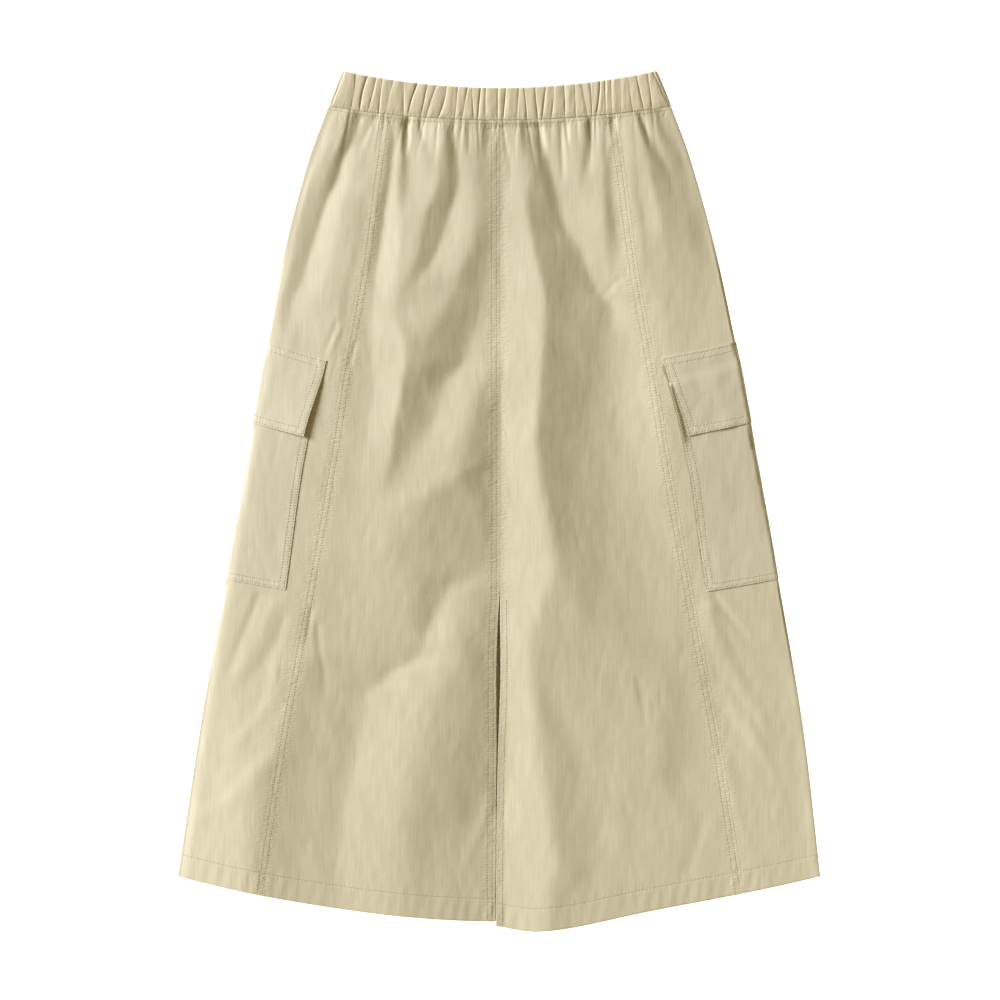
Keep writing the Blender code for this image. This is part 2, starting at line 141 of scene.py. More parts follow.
def pocketBackEdge(side, down):  # the pocket's width round the fold from its front edge, clear of the seam
    wrapped = 2 * halfAt(side, down) - body["pocketWidth"] - pocketFront(side, down)
    return np.maximum(wrapped, cut("seam", down) + body["liftMarginAcross"])


def backLift(x, down, wide=1.0):
    # how far the pocket and flap under it lift the cloth: each one's rise, which is 1 inside its band and
    # past its edge, and eased out over a margin
    inside = abs(x) - np.where(x < 0, pocketBackEdge(-1, down), pocketBackEdge(1, down))
    across = ease(1 + inside / (body["liftMarginAcross"] * wide))
    total = 0.0
    for kind, thick in (("pocket", "solidCloth"), ("flap", "solidFlap")):
        above = ease(1 - (body[kind + "Top"] - down) / (body["liftMargin"] * wide))
        below = ease(1 - (down - body[kind + "Bottom"]) / (body["liftMargin"] * wide))
        total = total + (body["laidGap"] + body[thick]) * above * below * across
    return total


def softNoise(u, v, seed, waves, shortest, longest):  # sum of sine waves in seeded directions
    rng = np.random.default_rng(seed)
    total = 0.0
    for _ in range(waves):
        angle, phase = rng.uniform(0, 2 * math.pi, 2)
        length = rng.uniform(shortest, longest)
        total = total + np.sin(2 * math.pi * (u * math.cos(angle) + v * math.sin(angle)) / length + phase)
    return total / math.sqrt(waves)


def unevenWave(along, length, seed):  # a sine whose spacing and strength drift, from -1 to 1
    drift = 0.9 * np.sin(along / (4.7 * length) + seed) + 0.6 * np.sin(along / (2.3 * length) + 2.1 * seed)
    strength = 0.72 + 0.28 * np.sin(along / (3.1 * length) + 3.7 * seed)
    return strength * np.sin(2 * math.pi * along / length + drift + seed)


# Folds of the laid cloth. Each line is where its steepness across changes: a name, how soft it is, and
# points of x, y and the steepness in percent of the cloth to the line's right. Where a line has ended, the
# cloth keeps the steepness of the line before it. The lines stand in order across the skirt, and a line
# that reaches y 400 or -390 has no end there.
foldLines = (
    ("left outer", 3, (-400, 430, -2), (-400, 375, -1), (-400, 355, 4), (-400, 300, 6), (-400, 240, 6),
     (-400, 190, 5), (-400, 150, 8), (-400, 0, 7), (-400, -60, 7), (-400, -200, 10), (-400, -400, 11)),
    ("left side crest", 2.2, (-150, 430, -10), (-158, 384, -10), (-168, 360, -13), (-179, 340, -14),
     (-190, 320, -14), (-196, 300, -15), (-204, 260, -15), (-208, 240, -13), (-213, 220, -12),
     (-216, 200, -11), (-219, 180, -8)),
    ("left side core", 1.3, (-143, 430, -28), (-151, 384, -28), (-157, 360, -28), (-167, 340, -28),
     (-175, 320, -26), (-184, 300, -20), (-191, 280, -17)),
    ("left side valley", 1.0, (-130, 430, 18), (-139, 384, 20), (-146, 360, 20), (-156, 340, 20),
     (-162, 320, 20), (-172, 300, 20), (-179, 280, 20), (-185, 260, 20), (-191, 240, 18), (-197, 220, 16),
     (-206, 200, 14), (-210, 180, 12), (-214, 160, 9)),
    ("left side swell", 2.5, (-128, 400, 1), (-134, 384, 1), (-142, 360, 2), (-145, 340, 2), (-150, 320, 4),
     (-155, 300, 5), (-159, 280, 5), (-164, 260, 5), (-168, 240, 5), (-172, 222, 5), (-180, 200, 5),
     (-188, 180, 5)),
    ("left thin crest", 1.5, (-139, 315, -4), (-141, 300, -5), (-142, 280, -5), (-145, 260, -5),
     (-149, 240, -5), (-154, 220, -5), (-158, 200, -5), (-162, 180, -5), (-166, 160, -5)),
    ("left thin valley", 1.5, (-133, 315, 3), (-135, 300, 3), (-136, 280, 3), (-139, 260, 3),
     (-143, 240, 3), (-148, 220, 3), (-152, 200, 3), (-156, 180, 3), (-160, 160, 4), (-158, 100, 7),
     (-166, 50, 10), (-172, 5, 11), (-185, -60, 7), (-205, -130, 4)),
    ("left seam crest", 1.5, (-107, 374, -8), (-109, 360, -18), (-112, 340, -25), (-115, 320, -25),
     (-119, 300, -22), (-122, 280, -20), (-126, 260, -17), (-130, 240, -12), (-132, 215, -5)),
    ("left seam valley", 1.2, (-103, 374, 18), (-104, 360, 20), (-107, 340, 20), (-109, 320, 20),
     (-112, 300, 20), (-115, 280, 20), (-118, 260, 20), (-121, 240, 19), (-123, 220, 18), (-125, 200, 18),
     (-127, 180, 18), (-128, 160, 18), (-127, 140, 18), (-125, 110, 18), (-129, 80, 19), (-134, 60, 18),
     (-138, 40, 17), (-139, 20, 15), (-136, 6, 14), (-132, -10, 11), (-130, -25, 8)),
    ("left long crest", 1.6, (-98, 430, -28), (-98, 350, -30), (-99.5, 330, -22), (-100.5, 310, -14),
     (-101, 290, 2), (-99, 265, 6), (-100, 240, 5), (-102, 220, 4), (-104, 200, 3), (-104, 184, 2),
     (-94, 160, -10), (-93, 140, -9), (-97, 120, -14), (-99, 100, -17), (-103, 80, -16), (-106, 60, -16),
     (-109, 40, -15), (-113, 22, -8), (-118, 5, 0)),
    ("left deep valley", 1.3, (-91, 430, 6), (-91, 350, 6), (-91, 320, 7), (-92, 290, 6), (-90, 262, 6)),
    ("left short crest", 1.5, (-81, 395, -12), (-78, 378, -12), (-76, 350, -12), (-73, 338, -8)),
    ("left short valley", 1.5, (-77, 395, 16), (-74, 378, 16), (-71, 350, 16), (-68, 338, 14)),
    ("left inner crest", 1.6, (-56, 430, -15), (-56, 376, -17), (-57, 360, -17), (-59, 340, -17),
     (-61, 320, -17), (-67, 300, -17), (-75, 285, -15), (-77, 270, -15), (-80, 255, -14), (-84, 240, -14),
     (-89, 228, -13), (-93, 216, -13), (-98, 207, -8)),
    ("left inner core", 1.2, (-55, 360, -26), (-52, 340, -26), (-51, 320, -26), (-53, 300, -26),
     (-58, 285, -18)),
    ("left inner valley", 1.2, (-47, 430, 0), (-46, 368, 2), (-42, 345, 6), (-41, 320, 6), (-45, 300, 8),
     (-51, 280, 9), (-58, 260, 10), (-67, 240, 8), (-76, 225, 4), (-86, 214, 2)),
    ("left diagonal crest", 3, (-33, 430, -9), (-33, 365, -9), (-30, 345, -10), (-26, 325, -12),
     (-23, 300, -14), (-22, 285, -16), (-26, 260, -16), (-34, 240, -16), (-41, 220, -16), (-50, 203, -16),
     (-57, 190, -16), (-62, 175, -17), (-67, 160, -18), (-70, 140, -18), (-76, 122, -17), (-85, 100, -12),
     (-88, 80, -11), (-93, 60, -4), (-98, 40, 0), (-104, 20, 8)),
    ("left diagonal valley", 3, (-2, 360, -8), (-2, 340, -8), (-2, 300, -7), (-3, 270, -6), (-9, 250, -4),
     (-12, 230, -4), (-15, 210, -2), (-19, 190, -1), (-26, 170, 2), (-32, 155, 5), (-36, 140, 6),
     (-51, 122, 9), (-60, 100, 10), (-66, 80, 10), (-77, 60, 10), (-92, 40, 10), (-103, 20, 11),
     (-110, 0, 11), (-118, -20, 6)),
    ("left centre crest", 4, (-10, 135, -4), (-20, 115, -4), (-25, 100, -6), (-29, 80, -12), (-36, 60, -10),
     (-42, 40, -8), (-52, 20, -5), (-78, 0, -4.5), (-90, -20, -5), (-102, -40, -7), (-104, -58, -8),
     (-90, -75, -9), (-86, -90, -10), (-85, -105, -11), (-83, -120, -12), (-82, -140, -10)),
    ("left centre core", 2, (-18, 105, -12), (-22, 90, -15), (-25, 75, -15), (-28, 58, -15), (-21, 40, -19),
     (-40, 22, -16), (-20, 4, -18), (-17, -20, -19), (-14, -40, -19), (-12, -62, -14)),
    ("left centre end", 1.5, (-6, 44, -4), (-6, 20, -3), (-8, 0, -4), (-8, -20, -2), (-8, -40, 0),
     (-8, -62, 0)),
    ("left low crest", 3, (-190, -150, -8), (-196, -170, -10), (-203, -190, -11), (-209, -215, -11),
     (-216, -240, -11), (-222, -255, -10), (-235, -275, -8), (-243, -300, -7), (-243, -340, -5),
     (-245, -370, -4), (-246, -400, -2)),
    ("left low valley", 3, (-178, -150, 0), (-182, -170, -2), (-188, -190, -2), (-194, -215, -2),
     (-201, -240, -2), (-204, -260, -2), (-203, -280, -2), (-202, -340, 0), (-202, -400, 1)),
    ("left facet valley", 1.5, (-40, -74, 9), (-50, -88, 11), (-60, -105, 13), (-68, -125, 15),
     (-76, -145, 15), (-84, -158, 15), (-105, -170, 13), (-120, -182, 13), (-130, -190, 13),
     (-134, -205, 13), (-138, -225, 14), (-142, -250, 13), (-150, -280, 11), (-156, -310, 11),
     (-158, -340, 11), (-158, -360, 10), (-158, -400, 8)),
    ("left facet crest", 3, (-12, -76, -4), (-38, -95, -1), (-41, -110, -2), (-42, -125, -3),
     (-46, -140, 1), (-50, -160, 1), (-56, -180, -3), (-68, -200, -4), (-75, -220, -4), (-80, -240, -5),
     (-83, -260, -5), (-89, -280, -5.5), (-94, -300, -6.4), (-97, -320, -7.5), (-97, -340, -6),
     (-101, -360, -3), (-101, -400, -2)),
    ("left slit slope", 2, (-20, -95, -8), (-20, -110, -9), (-22, -125, -9), (-35, -140, -8),
     (-35, -160, -11), (-30, -180, -11), (-29, -200, -13), (-34, -220, -12), (-36, -240, -12),
     (-48, -260, -10), (-50, -280, -12), (-53, -300, -12.5), (-48, -315, -11), (-42, -328, -6)),
    ("left slit valley", 2.5, (-28, -312, -1), (-28, -325, 0), (-29, -345, -2), (-42, -360, -2),
     (-42, -400, -4)),
    ("centre", 1.2, (5, 430, 3), (6, 376, 4), (5, 340, 6), (4, 300, 8), (3, 260, 11), (2, 200, 13),
     (2, 100, 15), (2, 0, 17), (2, -64, 18), (2, -100, 18), (2, -160, 18), (2, -260, 16), (2, -340, 15),
     (2, -400, 13)),
    ("right centre crest", 1.6, (24, 430, -25), (23, 376, -25), (21, 362, -20), (24, 350, -18),
     (28, 340, -18), (30, 322, -17), (27, 308, -16), (27, 295, -19), (29, 280, -20), (31, 268, -21),
     (34, 255, -21), (38, 240, -21), (42, 222, -21), (45, 208, -20), (46, 195, -17), (45, 180, -15),
     (44, 160, -15), (42, 135, -15), (41, 110, -15), (39, 90, -15.5), (37, 72, -17), (36, 60, -18),
     (39, 40, -18.5), (42, 20, -18.5), (46, 0, -17), (50, -20, -17), (53, -40, -14), (57, -60, -7),
     (52, -80, -1), (44, -100, 0), (36, -120, 0), (31, -140, 0), (31, -160, -5), (33, -180, -8),
     (36, -200, -10), (39, -220, -8), (42, -240, -4), (44, -260, -4), (47, -280, -5), (50, -300, -8),
     (53, -320, -9), (56, -340, -8), (58, -360, -7), (53, -385, -5), (50, -400, -4)),
    ("right centre core", 1.3, (33, 356, -27), (38, 345, -28), (41, 330, -28), (44, 315, -28),
     (47, 300, -28), (50, 288, -28), (52, 278, -26), (56, 268, -18)),
    ("right wide slope", 4, (78, 200, -13), (76, 160, -14), (78, 140, -12), (90, 120, -10), (92, 100, -8),
     (80, 80, -11), (73, 60, -10), (75, 40, -12), (72, 20, -14), (75, 0, -15), (75, -20, -14),
     (78, -40, -13), (80, -52, -12)),
    ("right low slope", 2.5, (64, -50, -13), (68, -62, -13), (74, -80, -13), (82, -100, -12),
     (90, -120, -8), (100, -135, -4)),
    ("right low core", 2.5, (54, -232, -10), (58, -250, -10.5), (60, -262, -11), (61, -280, -11),
     (62, -295, -10)),
    ("right low valley", 2.5, (43, -155, 1), (45, -180, 1), (52, -200, 1), (64, -220, 1), (69, -240, 2),
     (79, -260, 2), (80, -280, 2), (80, -300, 2), (90, -320, 1.5), (92, -340, 1.5), (95, -360, 1),
     (77, -385, 1), (75, -400, 1)),
    ("right lower slope", 3, (100, -80, -7), (100, -100, -8), (110, -115, -8), (120, -128, -8),
     (127, -145, -8), (129, -162, -7)),
    ("right valley", 1.4, (31, 430, 6), (31, 376, 6), (40, 358, 8), (47, 345, 9), (51, 330, 10),
     (54, 318, 10), (58, 305, 10), (61, 290, 11), (64, 278, 11), (70, 267, 11), (76, 259, 10),
     (82, 250, 10), (85, 240, 10), (89, 230, 9), (94, 218, 8), (101, 206, 8), (108, 201, 7), (113, 192, 6),
     (113, 180, 6), (112, 170, 6)),
    ("right soft valley", 9, (116, 192, 5), (116, 160, 5), (116, 140, 6), (115, 120, 7), (114, 100, 9),
     (114, 80, 8), (113, 60, 6), (108, 40, 4), (106, 20, 3), (104, 0, 2), (107, -20, 2), (110, -40, 3),
     (116, -60, 3), (128, -80, 1), (131, -100, 1), (139, -120, 0), (141, -160, 0)),
    ("right middle crest", 1.2, (84, 430, -26), (84, 380, -26), (84, 360, -24), (82, 340, -14),
     (80, 322, -10)),
    ("right middle valley", 1.2, (93, 430, 12), (93, 380, 12), (93.5, 365, 12), (91, 350, 12),
     (88, 335, 12), (84, 318, 11)),
    ("right seam crest", 1.3, (101, 430, -9), (101, 384, -9), (101, 362, -4), (103, 340, -9),
     (104, 320, -15), (105, 300, -15), (106, 280, -14), (107, 260, -8), (107, 240, -3)),
    ("right seam valley", 1.3, (117, 430, 3), (117, 378, 3), (116, 358, 3), (112, 340, 9), (112, 320, 11),
     (114, 300, 11), (117, 280, 11), (119, 260, 11), (121, 240, 11), (122, 222, 11)),
    ("right thin crest", 1.5, (130, 345, -7), (134, 320, -7), (136, 300, -7), (139, 280, -7),
     (142, 260, -6), (141, 240, 0), (140, 220, 2), (141, 200, 3), (148, 180, 4), (155, 160, 4),
     (156, 130, 0), (156, 100, -1), (165, 50, -2), (176, 0, -1), (184, -60, -1)),
    ("right thin valley", 1.5, (136, 345, 9), (140, 320, 9), (142, 300, 9), (145, 280, 9), (148, 260, 8)),
    ("right side crest", 1.5, (128, 430, -18), (136, 386, -18), (138, 372, -18), (142, 360, -18),
     (146, 350, -18), (149, 340, -16), (151, 330, -16), (153, 320, -16), (155, 310, -14), (157, 300, -12),
     (160, 290, -10), (162, 280, -8), (165, 260, -6), (166, 220, -6), (165, 180, -5), (165, 155, -3)),
    ("right side core", 1.2, (130, 430, -27), (138, 386, -28), (141, 370, -27), (144, 360, -28),
     (147, 350, -28), (154, 340, -28), (160, 330, -28), (164, 318, -22)),
    ("right side valley", 1.3, (134, 430, 5), (142, 386, 5), (149, 368, 5), (156, 356, 5), (161, 346, 5),
     (165, 338, 5), (169, 328, 5), (172, 318, 5), (175, 308, 4), (177, 298, 3), (178, 288, 2),
     (180, 278, 0), (183, 262, -5)),
    ("right edge crest", 1.5, (148, 430, -12), (155, 388, -12), (161, 370, -13), (166, 360, -12),
     (171, 350, -11), (177, 340, -9)),
    ("right edge valley", 1.5, (154, 430, 4), (161, 388, 4), (167, 370, 4), (172, 360, 4), (177, 350, 4),
     (182, 340, 3)),
    ("right low side crest", 3, (158, -172, -4), (162, -182, -5), (163, -200, -7), (166, -220, -10),
     (166, -240, -9), (163, -260, -8), (158, -280, -7), (162, -300, -3)),
    ("right low side valley", 3, (185, -180, 1), (192, -200, 2), (194, -220, 3), (193, -240, 3),
     (190, -260, 3), (182, -280, 2), (198, -300, 2)),
    ("right outer", 6, (200, 290, -1), (200, 240, -2), (200, 160, -1), (195, 100, 0), (200, 0, 0),
     (212, -100, 3), (225, -200, 5), (240, -300, 10), (250, -400, 11)),
)

laid = {
    "fade": 40,  # over how far a line comes in and goes
    "softer": 1.1, "softerFrom": 140, "softerOver": 240,  # lower down the lines are rounder
    "step": 2.0, "mean": 17, "slow": 23, "even": 8,  # of the coarse grid, and what is smoothed in its steps
    "waistFrom": 1, "waistOver": 6,  # at the waist seam the folds have half their height
    "floor": 1.2, "liftWidth": 26, "liftWider": 1.5, "widerFrom": -150, "widerOver": 150,
    "shoulder": 1.5, "shoulderWidth": 4.5,  # of the left side, which stands up steeply
    "shoulderFrom": 100, "shoulderOver": 150, "shoulderRun": 640,
}

# Smaller ridges and troughs: a path, the widths of its flanks, its height and how sharp it is
smallRidges = (
    ("left side slant one", ((-225, -105), (-245, -150), (-268, -185)), 12, 15, 0.6, 0.2),
    ("left side slant two", ((-222, -170), (-228, -200), (-262, -245)), 11, 14, 0.5, 0.2),
    ("left side slant three", ((-236, -262), (-264, -296), (-300, -318)), 15, 16, 0.5, 0.1),
    ("left flap pucker", ((-158, 172), (-164, 158), (-169, 146)), 4, 5, 0.35, 0.2),
    ("left slit slant", ((-8, -300), (-25, -345), (-38, -375)), 11, 9, 0.4, 0.2),
    ("right side slant one", ((210, -110), (225, -150), (240, -180), (255, -205), (268, -235)), 16, 12, 0.7,
     0.15),
    ("right side slant two", ((225, -190), (248, -222), (268, -262), (282, -300)), 16, 13, 0.5, 0.1),
    ("right low slant", ((228, -262), (236, -300), (246, -340)), 14, 12, 0.5, 0.1),
)
smallTroughs = (
    ("pleat far left", ((-123, 386), (-127, 376), (-133, 364), (-138, 354)), 5, 4, 0.8, 0.4),
    ("pleat at the left seam", ((-108, 384), (-107, 372), (-106, 362)), 5, 4, 0.3, 0.4),
    ("pleat left long", ((-89, 384), (-91.5, 374), (-91.5, 364), (-93, 348)), 7, 5, 1.8, 0.4),
    ("pleat left short", ((-77, 382), (-78, 374), (-76, 362)), 5, 4, 1.0, 0.4),
    ("pleat left middle", ((-44, 380), (-46, 372), (-49, 358)), 6, 4, 0.6, 0.3),
    ("pleat left inner", ((-29, 380), (-30, 368), (-30, 350)), 6, 5, 0.9, 0.3),
    ("pleat left centre", ((-10, 378), (-9, 366), (-12, 348)), 8, 8, 0.9, 0.2),
    ("pleat right inner", ((25, 378), (26, 366)), 5, 4, 0.7, 0.4),
    ("pleat right middle", ((39, 378), (42, 366), (45, 352)), 7, 5, 1.1, 0.3),
    ("pleat right short", ((67, 378), (68, 362)), 6, 5, 0.6, 0.3),
    ("pleat right long", ((91, 380), (91.5, 362)), 6, 4, 1.0, 0.5),
    ("pleat at the right seam", ((114, 382), (115, 372)), 8, 5, 1.2, 0.2),
    ("pleat far right", ((141, 386), (147, 368), (151, 356)), 6, 4, 1.0, 0.4),
    ("left narrow low", ((-181, -125), (-179, -150), (-175, -170), (-175, -200)), 6, 7, 0.45, 0.2),
    ("left narrow upper", ((-187, -108), (-193, -145)), 5, 6, 0.5, 0.4),
    ("left flap dent", ((-162, 178), (-169, 160), (-175, 146)), 5, 4, 0.35, 0.2),
    ("left crossing", ((-144, 156), (-150, 130)), 4, 4, 0.5, 0.4),
    ("right inner", ((8, 356), (12, 325), (8, 303)), 5, 5, 0.3, 0.2),
    ("right short", ((62, 376), (63, 345), (64, 322)), 5, 5, 0.8, 0.4),
    ("right diagonal", ((120, 222), (103, 204)), 4, 5, 0.5, 0.4),
    ("right low", ((139, -180), (143, -200), (145, -222)), 6, 8, 0.5, 0.3),
    ("right hem slant", ((205, -318), (197, -345), (188, -372)), 12, 8, 0.35, 0.2),
    ("right side slant", ((222, -212), (245, -240), (260, -260), (275, -292)), 13, 11, 0.5, 0.2),
    ("right under pocket", ((216, -96), (232, -118), (250, -142)), 8, 8, 0.7, 0.3),
    ("left under pocket", ((-240, -96), (-258, -140), (-270, -170)), 8, 8, 0.6, 0.3),
    ("left side dip", ((-215, -120), (-225, -146), (-248, -180)), 10, 10, 0.4, 0.2),
)


def foldLine(points, y):  # a line's x and steepness, and how much of it there is at this level
    downs = [-p[1] for p in points]
    place = curveThrough(downs, [p[0] for p in points], -y)
    steep = 0.01 * curveThrough(downs, [p[2] for p in points], -y)
    there = 1.0
    if points[0][1] < 395:
        there = ease(0.5 + (points[0][1] - y) / laid["fade"])
    if points[-1][1] > -390:
        there = there * ease(0.5 + (y - points[-1][1]) / laid["fade"])
    return place, steep, there


def foldProfile(x, y):  # each change of steepness, times the log of 1 plus e to the distance past it
    height, before = 0.0, 0.0
    wider = 1 + laid["softer"] * ease((laid["softerFrom"] - y) / laid["softerOver"])
    for _, soft, *points in foldLines:
        place, steep, there = foldLine(points, y)
        steep = there * steep + (1 - there) * before
        height = height + (steep - before) * soft * wider * np.logaddexp(0, (x - place) / (soft * wider))
        before = steep
    return height


def smoothed(values, width, axis):  # a running mean with bell-shaped weights, its ends held
    reach = int(3 * width)
    weights = np.exp(-0.5 * (np.arange(-reach, reach + 1) / width) ** 2)
    ends = [(0, 0), (0, 0)]
    ends[axis] = (reach, reach)
    held = np.pad(values, ends, mode="edge")
    total = np.zeros_like(values)
    for k, weight in enumerate(weights / weights.sum()):
        total += weight * np.take(held, np.arange(k, k + values.shape[axis]), axis=axis)
    return total


def foldDatum():
    # worked out on a coarse grid: the line between the profile's ends, and what changes too quickly down
    # the skirt in its mean across. Then the lift that keeps each row over its least height.
    xs, ys = np.arange(-340, 341, laid["step"]), np.arange(-420, 421, laid["step"])
    x, y = np.meshgrid(xs, ys)
    edges = [side * (halfAt(side, body["waistSeamY"] - ys) - body["sideRadius"])[:, None] for side in (-1, 1)]
    ends = [foldProfile(edge, ys[:, None]) for edge in edges]
    held = np.clip(x, *edges)
    datum = ends[0] + (ends[1] - ends[0]) * (held - edges[0]) / (edges[1] - edges[0])
    level = foldProfile(held, y) - datum
    mean = smoothed(level, laid["mean"], 1)
    quick = mean - smoothed(mean, laid["slow"], 0)
    lowest = np.maximum(-laid["floor"] - (level - quick).min(axis=1), 0)[:, None]
    return xs, ys, datum + quick, smoothed(np.broadcast_to(lowest, x.shape), laid["even"], 0)[:, 0]


datumX, datumY, datumHeight, datumLift = foldDatum()
print("folds laid out, the highest lift is", round(float(datumLift.max()), 2), flush=True)


def fromGrid(x, y):  # the datum between its four nearest grid points, by their shares
    across = np.clip((x - datumX[0]) / laid["step"], 0, len(datumX) - 1.001)
    along = np.clip((y - datumY[0]) / laid["step"], 0, len(datumY) - 1.001)
    i, j = along.astype(int), across.astype(int)
    u, v = across - j, along - i
    lower = datumHeight[i, j] * (1 - u) + datumHeight[i, j + 1] * u
    upper = datumHeight[i + 1, j] * (1 - u) + datumHeight[i + 1, j + 1] * u
    return lower * (1 - v) + upper * v


def laidFolds(x, y):  # the profile less its datum
    return foldProfile(x, y) - fromGrid(x, y)


def foldRelief(rows, x, y, blend=3):  # humps that fade across their path and towards its low end
    total = np.zeros(np.broadcast(x, y).shape)
    for _, path, left, right, height, sharp in rows:
        places, line = [-p[1] for p in path], [p[0] for p in path]
        middle = curveThrough(places, line, -y)
        slope = (curveThrough(places, line, 1.5 - y) - curveThrough(places, line, -1.5 - y)) / 3
        away = (x - middle) / np.sqrt(1 + slope**2)
        share = np.clip(abs(away) / np.where(away < 0, left, right), 0, 1)
        reach = 0.5 * (left + right)
        above = ease(1 - (y - path[0][1]) / reach)
        below = np.clip((path[0][1] + reach - y) / (path[0][1] - path[-1][1] + 2 * reach), 0, 1)
        fade = above * (1 - below**3)
        hump = (1 - sharp) * (0.5 + 0.5 * np.cos(math.pi * share)) + sharp * (1 - share) ** 2
        total = total + (height * hump * fade) ** blend
    return total ** (1 / blend)


# Waistband: creases between its puffs, where each crosses the top edge and the waist seam
band = {
    "topY": 430, "topHalf": 157, "topSag": 17, "radius": 3.3, "wall": 2.6,
    "creaseDepth": 0.2, "puff": 0.22, "puffWidth": 10, "columnsPerPuff": 14, "rows": 26,
    "sharpDepth": 0.55, "sharpWidth": 0.7, "tilt": 0.1, "below": 0.8,
    "roundness": 2.2,  # of the puffs: 1 is a gable, more is flatter on top with steeper sides
    "creases": (
        # top, bottom, depth
        (-143, -148, 1.0), (-131, -139, 1.0), (-122, -131, 0.4), (-116, -120, 1.0), (-105, -114, 0.3),
        (-95, -95, 0.7), (-81, -91, 1.0), (-71, -78, 0.5), (-62, -73, 0.8), (-52, -61, 0.7),
        (-41, -44, 1.0), (-31, -37, 0.9), (-27, -25, 0.6), (-18, -21, 0.9), (-13, -13, 0.5),
        (-1, -1, 0.5), (7, 4, 0.9), (20, 18, 0.5), (25, 28, 1.0), (36, 39, 1.0), (47, 43, 0.7),
        (55, 52, 0.6), (65, 66, 0.8), (76, 77, 0.6), (82, 89, 0.6), (91, 93, 0.9), (101, 97, 0.8),
        (106, 107, 1.0), (112, 113, 0.4), (121, 122, 0.3), (129, 134, 0.5), (137, 145, 0.6),
        (148, 153, 1.0),
    ),
    "backPuffs": 33, "flat": (0.88, 0.036),
}
gathers = {"count": 22, "height": 0.9, "share": 0.4, "rise": 20, "fade": 60, "drift": 0.4, "turns": 7}


def gatherWaves(x, down):  # uneven raised cosines across that fade down the skirt
    share = x / halfWidth(x, down)
    phase = gathers["count"] * share / 2 + gathers["drift"] * np.sin(gathers["turns"] * share)
    wave = 0.5 - 0.5 * np.cos(2 * math.pi * phase)
    return gathers["height"] * wave * ease(down / gathers["rise"]) * (1 - ease(down / gathers["fade"]))


def creasesBelowWaist(x, down, creases, seed):  # a sharp trough runs on below each crease of the band
    rng = np.random.default_rng(seed)
    total = np.zeros(np.broadcast(x, down).shape)
    for _, bottom, depth in creases:
        length, lean = rng.uniform(14, 30) + 40 * depth * rng.uniform(0.3, 1), rng.normal(0, 0.12)
        middle = bottom + (lean + 0.0011 * bottom) * down
        share = np.clip(abs(x - middle) / (1.9 + 0.075 * down), 0, 1)
        trough = (0.2 + 0.6 * depth) * (1 - share) ** 1.5 * (1 - ease(down / length))
        total = np.maximum(total, trough)
    pinched = 0.6 + 0.4 * ease((down - 3) / 4)
    return total * pinched


crumples = {  # small dents and broken crease lines between the folds
    "swell": 0.12, "swellLengths": (20, 46), "crease": 0.16, "creaseLengths": (26, 60), "width": 0.16,
    "dent": 0.03, "dentLengths": (7, 16),
}


def crumpled(x, y, seed):  # soft noise, and a valley where another noise crosses zero, broken by a third
    total = crumples["swell"] * softNoise(x, y * 0.45, seed, 10, *crumples["swellLengths"])
    line = softNoise(x, y * 0.4, seed + 1, 9, *crumples["creaseLengths"])
    where = ease(0.2 + 0.7 * softNoise(x, y, seed + 2, 7, 45, 90))
    total = total - crumples["crease"] * np.exp(-abs(line) / crumples["width"]) * where
    return total + crumples["dent"] * softNoise(x, y * 0.5, seed + 3, 12, *crumples["dentLengths"])


sideDips = (  # troughs in the side panels beside a flap's front edge, which stands clear of them
    ("right flap", ((167, 134), (173, 118), (180, 96), (187, 74), (190, 64)), 5, 3, 1.7, 0.5),
)


def frontHeight(x, y, down, dips=0.0):  # rest height, folds and gathers, kept above the least height
    fromFold = halfWidth(x, down) - abs(x)
    inside = fromFold - foldRadius(down)
    inner = ease(inside / body["sideRoll"])
    waistRise = (body["waistHeight"] - body["laidHeight"]) * (1 - ease(down / body["waistFade"]))
    rest = 2 * foldRadius(down) * (1 - inner) + (body["laidHeight"] + waistRise) * inner
    folds = laidFolds(x, y) + foldRelief(smallRidges, x, y) - foldRelief(smallTroughs, x, y)
    fromWaist = ease((down - laid["waistFrom"]) / laid["waistOver"])
    folds = folds * (0.5 + 0.5 * fromWaist) + gathers["share"] * gatherWaves(x, down)
    folds = folds - band["below"] * creasesBelowWaist(x, down, band["creases"], 5)
    folds = folds + crumpled(x, y, 21) - dips
    wider = 1 + laid["liftWider"] * ease((laid["widerFrom"] - y) / laid["widerOver"])
    lift = np.interp(y, datumY, datumLift) * ease(inside / (laid["liftWidth"] * wider))
    fromLeft = np.maximum(x + halfAt(-1, down) - foldRadius(down), 0)
    shoulder = 0.2 + 0.8 * ease((down - laid["shoulderFrom"]) / laid["shoulderOver"])
    shoulder = laid["shoulder"] * shoulder * (1 - np.exp(-fromLeft / laid["shoulderWidth"]))
    lift = lift + shoulder * (1 - fromLeft / laid["shoulderRun"])
    above = rest + folds * ease(inside / body["foldClearance"]) + lift - body["leastHeight"]
    return backLift(x, down, body["liftSpread"]) + body["leastHeight"] + softRamp(above, body["softFloor"])


